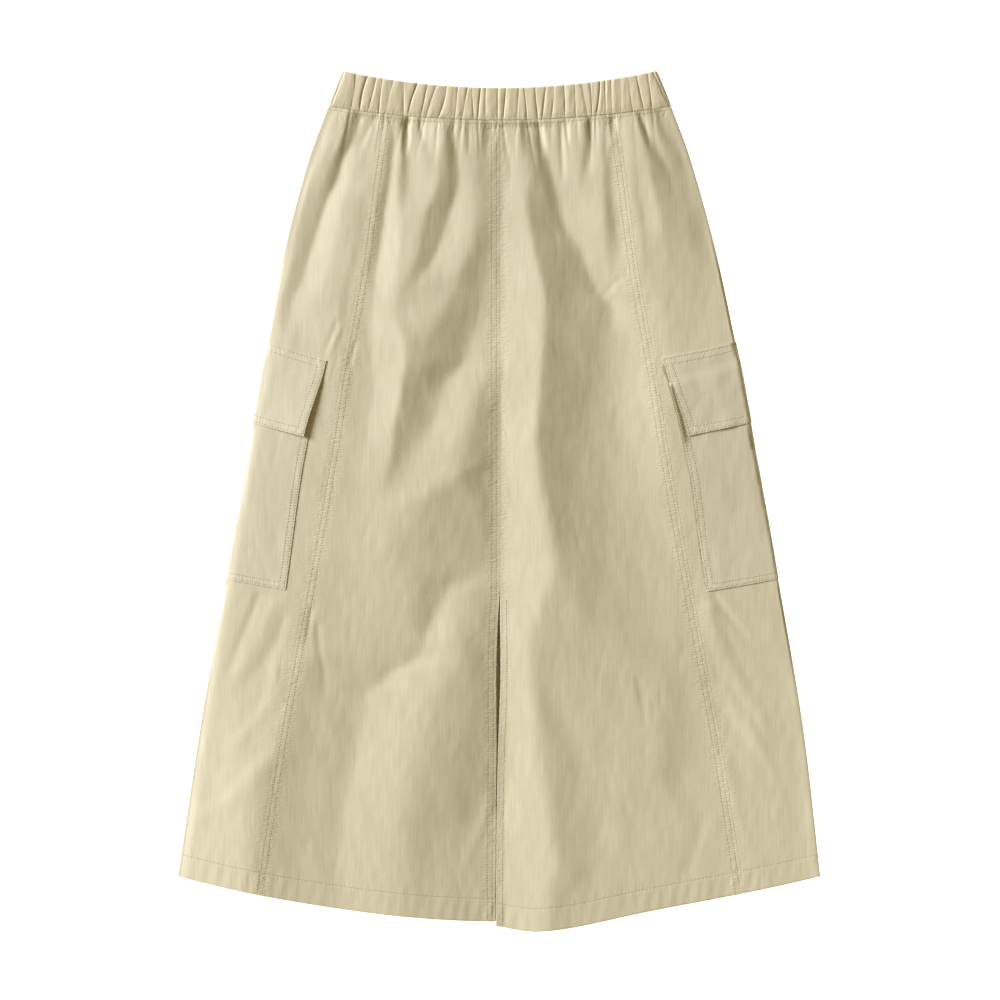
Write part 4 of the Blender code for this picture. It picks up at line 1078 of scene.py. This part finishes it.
def makeFront(side, word):  # from the seam to the slit's edge, each with its sewn strip
    down = skirtRows(grid["front down"])
    inner, outer = slitEdge(side, down), side * (cut("seam", down) - body["gap"] / 2)
    start, end = (outer, inner) if side < 0 else (inner, outer)
    x = spread(start, end, grid["beside a seam"], grid["beside a seam"], grid["front across"])
    down = down[:, None] + 0 * x
    toSeam, toSlit = cut("seam", down) - abs(x), abs(x - slitEdge(side, down))
    wearAndHighlight = seamsRubbed(toSeam, 10) + seamsRubbed(body["hem"] - down, 0)
    wearAndHighlight = wearAndHighlight + seamsRubbed(toSlit, 10 if side < 0 else 0)
    byEdges = puckered(toSeam, 11) + puckered(toSlit, 11 if side < 0 else 6)
    masks = wearAndHighlight, np.minimum(byEdges, 1), rowsPuckered(down)
    clothPiece("front" + word, "front_" + word.lower(), "skirt_cloth",
               frontSurface(side, x, down), x, masks, body["cloth"])


makeFront(-1, "Left")
makeFront(1, "Right")


def makeSide(side, word):  # from the front seam to the pocket, to the fold, round it and to the back seam
    down = skirtRows(grid["front down"])
    seam, radius = cut("seam", down) + body["gap"] / 2, foldRadius(down)
    edge, line = halfAt(side, down) - radius, pocketFront(side, down) - pocketForward(side, down)
    backEdge = edge + math.pi * radius
    lastEdge = backEdge + edge - seam
    underSeam, pastPocket = grid["under a seam"], grid["past a pocket's edge"]
    turn = np.linspace(0, 1, grid["fold"] + 1)[None, 1:-1]
    across = np.hstack([
        spread(seam, line, underSeam[:-2], grid["beside a pocket"], grid["side to pocket"]),
        spread(line, edge, pastPocket, grid["before the fold"], grid["side past pocket"])[:, 1:],
        edge[:, None] + radius[:, None] * math.pi * turn,
        spread(backEdge, lastEdge, grid["after the fold"], underSeam, grid["side back"]),
    ])
    down = down[:, None] + 0 * across
    toSeam = np.minimum(across - seam[:, None], lastEdge[:, None] - across)
    wearAndHighlight = seamsRubbed(toSeam, 0) + seamsRubbed(body["hem"] - down, 0)
    # painted highlight: the cloth is made paler in a band along the side fold's rounded edge
    wearAndHighlight = wearAndHighlight + 0.6 * np.exp(-(((across - edge[:, None] - 3) / 5) ** 2))
    masks = wearAndHighlight, 0.6 * puckered(toSeam, 4), rowsPuckered(down)
    clothPiece("side" + word, "side_" + word.lower(), "skirt_cloth",
               sideSurface(side, across, down), side * across, masks, body["cloth"], flipped=side < 0)


makeSide(-1, "Left")
makeSide(1, "Right")


def makeBack():  # from seam to seam, its faces pointing down
    down = skirtRows(grid["back down"])
    edge = cut("seam", down) - body["gap"] / 2
    x = spread(edge, -edge, grid["beside a seam"], grid["beside a seam"], grid["back across"])
    down = down[:, None] + 0 * x
    toSeam = cut("seam", down) - abs(x)
    wearAndHighlight = seamsRubbed(toSeam, 10) + seamsRubbed(body["hem"] - down, 0)
    masks = wearAndHighlight, puckered(toSeam, 11), rowsPuckered(down)
    clothPiece("backPanel", "back", "skirt_cloth", backSurface(x, down), -x, masks,
               body["cloth"])


makeBack()


# The waistband's tube. Its share runs from 0 at the top edge to 1 at the waist seam.


def bandHalf(side, share):
    return band["topHalf"] + (halfAt(side, 0.0) - band["topHalf"]) * share


def bandRadius(share):
    return band["radius"] + (body["waistRadius"] - band["radius"]) * share


def bandY(x, share):  # as a row of the skirt, its height and sag between the top edge and the seam
    sag = band["topSag"] + (cut("sag", 0.0) - band["topSag"]) * share
    sideY = band["topY"] + (body["waistSeamY"] + body["gap"] / 2 - band["topY"]) * share
    across = np.minimum(abs(x) / np.where(x < 0, bandHalf(-1, share), bandHalf(1, share)), 1.0)
    return sideY - sag * (1 - across ** cut("power", 0.0))


def bandStops(share):  # where the front's creases are at each height of the band, with a little sway
    rng = np.random.default_rng(3)
    sway = rng.normal(0, 0.5, len(band["creases"])) * np.sin(math.pi * share)
    tops = np.array([c[0] for c in band["creases"]], float)
    bottoms = np.array([c[1] for c in band["creases"]], float)
    inside = tops + (bottoms - tops) * share + sway
    ends = bandHalf(-1, share) - bandRadius(share), bandHalf(1, share) - bandRadius(share)
    return np.hstack([-ends[0], inside, ends[1]])


def puffsAcross(stops, depths, steps):
    # between two creases a puff: one less |u| to the roundness, tilted, with a sharp bell at each crease;
    # t runs as the sine of itself, so points crowd towards the creases
    t = np.arange(steps) / steps
    t = t - 0.75 * np.sin(2 * math.pi * t) / (2 * math.pi)
    start, end = stops[..., :-1, None], stops[..., 1:, None]
    first, last = depths[..., :-1, None], depths[..., 1:, None]
    x = start + (end - start) * t
    puff = band["puff"] * np.minimum(abs(end - start) / band["puffWidth"], 1.3)
    depth = first + (last - first) * t
    hollow = (band["creaseDepth"] * depth + puff) * abs(1 - 2 * t) ** band["roundness"]
    fromFirst, fromLast = abs(x - start) / band["sharpWidth"], abs(end - x) / band["sharpWidth"]
    hollow = hollow + band["sharpDepth"] * (first * np.exp(-fromFirst) + last * np.exp(-fromLast))
    lean = band["tilt"] * np.sin(7.3 * np.arange(stops.shape[-1] - 1) + 1.1)[:, None]
    hollow = hollow + lean * np.sin(2 * math.pi * t) * np.minimum(abs(end - start) / band["puffWidth"], 1.0)
    shape = x.shape[:-2] + (-1,)
    top = band["creaseDepth"] + puff + 0.4
    return x.reshape(shape), (top - hollow).reshape(shape), hollow.reshape(shape)


def bandGrid(share):  # base points, outward normals and relief, round from the left end of the front
    share = share[:, None]
    stops = bandStops(share)
    rng = np.random.default_rng(4)
    depths = np.array([1.0] + [c[2] for c in band["creases"]] + [1.0])
    wander = 0.8 + 0.45 * np.sin(3.1 * share + rng.uniform(0, 6.3, len(depths)))
    frontX, frontRelief, _ = puffsAcross(stops, depths * np.minimum(wander, 1.15), band["columnsPerPuff"])
    shares, backDepths, sway = backPuffStops()
    right, left = bandHalf(1, share) - bandRadius(share), bandHalf(-1, share) - bandRadius(share)
    backStops = right + (-left - right) * (shares + 1 + sway * (1 - share) * (1 - abs(shares))) / 2
    backX, _, backHollow = puffsAcross(backStops, backDepths + 0 * share, 8)
    columns = grid["fold"]
    turn = np.linspace(0, 1, columns + 1)[None, :-1]
    fold = 0.8 * (1 - abs(2 * turn - 1) ** band["roundness"]) + 0 * share
    radius = bandRadius(share)
    pieces = []
    for side in (1, -1):
        angle = side * math.pi * (0.5 - turn)
        x = side * (bandHalf(side, share) - radius + radius * np.cos(angle))
        normal = np.stack([side * np.cos(angle) + 0 * x, 0 * x, np.sin(angle) + 0 * x], axis=-1)
        pieces.append((x, radius + radius * np.sin(angle), normal))
    up = np.array([0.0, 0.0, 1.0])
    x = np.hstack([frontX, pieces[0][0], backX, pieces[1][0]])
    z = np.hstack([2 * radius + 0 * frontX, pieces[0][1], 0 * backX, pieces[1][1]])
    normals = np.concatenate([up + 0 * frontX[..., None], pieces[0][2], -up + 0 * backX[..., None],
                              pieces[1][2]], axis=1)
    relief = np.hstack([frontRelief, fold, -0.62 * backHollow, fold])
    small = 0.07 * softNoise(x, 9 * share, 61, 10, 3.5, 9.0) * np.hstack(
        [1 + 0 * frontX, 0 * fold, 0 * backX, 0 * fold])
    pinch = 0.35 + 0.65 * ease((1 - share) * 36 / 7)
    relief = (relief + small + 0.3 * np.sin(math.pi * share) * (z > 3)) * pinch
    relief = relief - 0.55 * np.clip(1 - (1 - share) * 36 / 1.8, 0, 1) ** 2 * (z > 0)
    return np.stack([x, bandY(x, share), z], axis=-1), normals, relief


def makeWaistband():  # profile up the inner face, over the rounded top and down the outer face
    topShare = 1.7 / 36
    up = np.linspace(1, topShare, 9)[:-1]
    over = np.linspace(0, math.pi, 8)
    outer = spread(topShare, 1.0, (0.02, 0.05), (0, 0.012, 0.03, 0.05, 0.08, 0.12), band["rows"])[0]
    share = np.concatenate([up, topShare * (1 - np.sin(over)), outer])
    inset = np.concatenate([np.ones(len(up)), (1 + np.cos(over)) / 2, np.zeros(len(outer))])[:, None]
    base, normals, relief = bandGrid(share)
    offset = relief * (1 - 0.5 * inset) - band["wall"] * inset
    points = base + normals * offset[..., None]
    steps = np.linalg.norm(np.diff(points[-1], axis=0, append=points[-1][:1]), axis=-1)
    around = np.concatenate([[0], np.cumsum(steps)])[None, :]
    height = np.concatenate([36 * share - 40 * inset[:, 0], [38.0]])[:, None]
    place = np.stack([around + 0 * height, -height + 0 * around], axis=-1)
    # paler along the band's top edge and on its highest puffs
    wearAndHighlight = 0.4 * np.exp(-((share[:, None] / 0.05) ** 2)) + 0.3 * ease(relief / 2 - 0.6)
    masks = wearAndHighlight, 0.0, 0.5 * puckered((1 - share[:, None]) * 36, 4) + 0.35
    clothPiece("waistBand", "waistband", "waistband", points, place, masks, 0.0)


makeWaistband()

# Pockets and flaps, each with its settings, surface, how far its front lies ahead, top, bottom and rows
laidKinds = {
    "pocket": (pocket, pocketSurface, pocketForward, body["pocketTop"], body["pocketBottom"],
               grid["pocket down"]),
    "flap": (flap, flapSurface, flapForward, body["flapTop"], body["flapBottom"], grid["flap down"]),
}


def makeLaidOn(kind, side, word):  # from its front edge round the fold to its back edge
    facts, surface, ahead, top, bottom, between = laidKinds[kind]
    edges = grid["beside a turned edge"]
    down = spread(top, bottom, edges, edges, between)[0]
    front, backEdge = aroundFold(side, down)
    front = front - ahead(side, down)
    across = spread(front, backEdge, edges, edges, grid["laid across"])
    down = down[:, None] + 0 * across
    fromEdge = np.minimum(across - front[:, None], backEdge[:, None] - across)
    fromEnd = bottom - down if kind == "pocket" else np.minimum(bottom - down, down - top)
    wearAndHighlight = seamsRubbed(fromEdge, 9) + seamsRubbed(bottom - down, 9) + seamsRubbed(down - top, 9)
    width = facts["rows"][1]
    masks = wearAndHighlight, 0.7 * puckered(fromEdge, width), 0.7 * puckered(fromEnd, width)
    clothPiece(kind + word, kind + "_" + word.lower(), "pocket_cloth",
               surface(side, across, down), side * across, masks, facts["cloth"], flipped=side < 0)


for side, word in ((-1, "Left"), (1, "Right")):
    makeLaidOn("pocket", side, word)
    makeLaidOn("flap", side, word)

# Stitches
stitch = {"pitch": 2.7, "length": 2.1, "thick": 0.24, "sink": 0.2, "proud": 0.06}


def stitchRow(surface, across, down, side=1, pitch=None):
    # each stitch is a spindle: four points round at three places along, with a point at each end
    across, down = np.broadcast_arrays(np.asarray(across, float), np.asarray(down, float))
    line, normals = surface(across, down), normalsOf(surface, across, down, side)
    run = np.concatenate([[0], np.cumsum(np.linalg.norm(np.diff(line, axis=0), axis=1))])
    pitch = pitch or stitch["pitch"]
    count = max(int(run[-1] / pitch), 1)
    centres = (np.arange(count) + 0.5) * run[-1] / count
    along = np.array([-1, -0.7, 0, 0.7, 1]) * stitch["length"] * pitch / stitch["pitch"] / 2
    rise = np.array([-1, 0.1, 1, 0.1, -1])
    rise = np.where(rise > 0, rise * stitch["proud"], rise * stitch["sink"])
    at = centres[:, None] + along
    place = np.stack([np.interp(at, run, line[:, k]) for k in range(3)], axis=-1)
    out = np.stack([np.interp(at, run, normals[:, k]) for k in range(3)], axis=-1)
    place = place + out * rise[:, None]
    way = place[:, -1:] - place[:, :1]
    way = way / np.linalg.norm(way, axis=-1, keepdims=True)
    beside = np.cross(way, out)
    angle = np.arange(4) * 2 * math.pi / 4
    thick = stitch["thick"] * np.array([0.8, 1.0, 0.8])[:, None, None]
    ring = beside[:, 1:4, None] * np.cos(angle)[:, None] + out[:, 1:4, None] * np.sin(angle)[:, None]
    ring = place[:, 1:4, None] + ring * thick
    return np.concatenate([place[:, :1], ring.reshape(count, 12, 3), place[:, 4:]], axis=1)


def makeStitches(name, rows):  # all of a piece's stitches as one mesh, from one set of faces
    points = np.concatenate(rows)
    k = np.arange(4)
    n = (k + 1) % 4
    fans = np.concatenate([np.stack([0 * k, 1 + n, 1 + k], 1), np.stack([13 + 0 * k, 9 + k, 9 + n], 1)])
    walls = np.concatenate([np.stack([1 + r + k, 1 + r + n, 5 + r + n, 5 + r + k], 1) for r in (0, 4)])
    offsets = np.arange(len(points))[:, None, None] * 14
    faces = (fans + offsets).reshape(-1, 3).tolist() + (walls + offsets).reshape(-1, 4).tolist()
    mesh = bpy.data.meshes.new(name)
    mesh.from_pydata((points.reshape(-1, 3) * 0.001).tolist(), [], faces)
    mesh.shade_smooth()
    mesh.materials.append(khakiThread)
    piece = inScene(name, mesh)
    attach(piece, "root")
    print(name, len(points), "stitches", flush=True)


def frontStitches(side, word):  # seam, slit with its bar, waist and hem
    surface = lambda x, d: frontSurface(side, x, d)
    down = np.arange(1.5, body["hem"] - 1, 0.7)
    outer = cut("seam", down) - body["gap"] / 2
    rows = [stitchRow(surface, side * (outer - r), down) for r in sewing["rows"]]
    if side < 0:
        rows += [stitchRow(surface, slitEdge(side, down) - r, down) for r in sewing["rows"]]
        bar = np.arange(1.2, 9.6, 0.3)
        level = body["slitTop"] - sewing["barUp"]
        rows.append(stitchRow(surface, slitEdge(side, level) - bar, level, pitch=1.9))
    else:
        low = np.arange(body["slitTop"] + 8, body["hem"] - 1, 0.7)
        rows.append(stitchRow(surface, slitEdge(side, low) + sewing["slitRow"], low))
    for level in (sewing["waistRow"], body["hem"] - sewing["hemWidth"]):
        ends = slitEdge(side, level) + side * 1.0, side * (cut("seam", level) - 1.2)
        rows.append(stitchRow(surface, np.arange(*sorted(ends), 0.6), level))
    makeStitches("stitchesFront" + word, rows)


def sideStitches(side, word):  # waist and hem, round the fold
    surface = lambda a, d: sideSurface(side, a, d)
    rows = []
    for level in (sewing["waistRow"], body["hem"] - sewing["hemWidth"]):
        radius, first = float(foldRadius(level)), float(cut("seam", level)) + 1.2
        last = 2 * (float(halfAt(side, level)) - radius) + math.pi * radius - first
        rows.append(stitchRow(surface, np.arange(first, last, 0.5), level, side))
    makeStitches("stitchesSide" + word, rows)


def backStitches():  # both seams, waist and hem
    down = np.arange(1.5, body["hem"] - 1, 0.8)
    rows = []
    for side in (-1, 1):
        for r in sewing["rows"]:
            rows.append(stitchRow(backSurface, side * (cut("seam", down) - body["gap"] / 2 - r), down, -1))
    for level in (sewing["waistRow"], body["hem"] - sewing["hemWidth"]):
        end = float(cut("seam", level)) - 1.2
        rows.append(stitchRow(backSurface, np.arange(-end, end, 0.7), level, -1))
    makeStitches("stitchesBack", rows)


def laidOnStitches(kind, side, word):  # two rows inside each sewn edge
    facts, shape, ahead, top, bottom, _ = laidKinds[kind]
    surface = lambda a, d: shape(side, a, d)
    rows = []
    for r in facts["rows"]:
        down = np.arange(top + r, bottom - r, 0.6)
        front, backEdge = aroundFold(side, down)
        rows.append(stitchRow(surface, front - ahead(side, down) + r, down, side))
        rows.append(stitchRow(surface, backEdge - r, down, side))
        for level in (bottom - r,) if kind == "pocket" else (top + r, bottom - r):
            first, last = (float(v) for v in aroundFold(side, level))
            across = np.arange(first - float(ahead(side, level)) + r, last - r, 0.5)
            rows.append(stitchRow(surface, across, level, side))
    makeStitches("stitches" + kind.capitalize() + word, rows)


for side, word in ((-1, "Left"), (1, "Right")):
    frontStitches(side, word)
    sideStitches(side, word)
    laidOnStitches("pocket", side, word)
    laidOnStitches("flap", side, word)
backStitches()

# Floor, light and camera
studio = {
    "floorHalf": 12.0, "floorDrop": 0.0004, "floorColour": (0.93, 0.93, 0.93, 1.0), "floorGlow": 1.1,
    "sunPower": 6.6, "sunAngle": 26, "sunFrom": (-0.86, 0.36, 0.34), "sunColour": (0.97, 1.0, 1.12),
    "skyPower": 0.26, "skyColour": (1.0, 0.80, 0.34, 1.0),
    "fillPower": 0.8, "fillColour": (1.0, 0.95, 0.8), "fillSize": 1.2,
    "fillPlace": (0.0, -0.95, 0.9), "fillTurn": 0.55,
    "cameraPlace": (0.001, 0.001, 3.75), "lens": 135, "sensor": 36,
}


def makeFloor():  # one pale square that glows, just under the skirt
    half, level = studio["floorHalf"], -studio["floorDrop"]
    mesh = bpy.data.meshes.new("paleFloor")
    corners = [(-half, -half, level), (half, -half, level), (half, half, level), (-half, half, level)]
    mesh.from_pydata(corners, [], [(0, 1, 2, 3)])
    material, _, _ = newMaterial("pale floor", {
        "Base Color": studio["floorColour"], "Roughness": 0.9, "Specular IOR Level": 0.1,
        "Emission Color": (1, 1, 1, 1), "Emission Strength": studio["floorGlow"]})
    mesh.materials.append(material)
    inScene("paleFloor", mesh)


def makeLights():  # an even sky, a low sun and a fill from the hem's side
    world = bpy.data.worlds.new("studio")
    world.use_nodes = True
    background = world.node_tree.nodes["Background"]
    background.inputs["Color"].default_value = studio["skyColour"]
    background.inputs["Strength"].default_value = studio["skyPower"]
    bpy.context.scene.world = world
    key = bpy.data.lights.new("key", "SUN")
    key.energy, key.color = studio["sunPower"], studio["sunColour"]
    key.angle = math.radians(studio["sunAngle"])
    away = np.array(studio["sunFrom"]) / np.linalg.norm(studio["sunFrom"])
    turned = math.acos(away[2]), 0, math.atan2(away[1], away[0]) + math.pi / 2
    inScene("key", key).rotation_euler = turned
    fill = bpy.data.lights.new("fill", "AREA")
    fill.energy, fill.size, fill.color = studio["fillPower"], studio["fillSize"], studio["fillColour"]
    lamp = inScene("fill", fill)
    lamp.location, lamp.rotation_euler = studio["fillPlace"], (studio["fillTurn"], 0, 0)


def makeCamera():  # straight above the middle, with a long lens
    camera = bpy.data.cameras.new("camera")
    camera.lens, camera.sensor_width, camera.clip_end = studio["lens"], studio["sensor"], 50
    eye = inScene("camera", camera)
    eye.location = studio["cameraPlace"]
    bpy.context.scene.camera = eye
    bpy.context.scene.view_settings.view_transform = "Standard"


makeFloor()
makeLights()
makeCamera()
print("floor, light and camera set", flush=True)
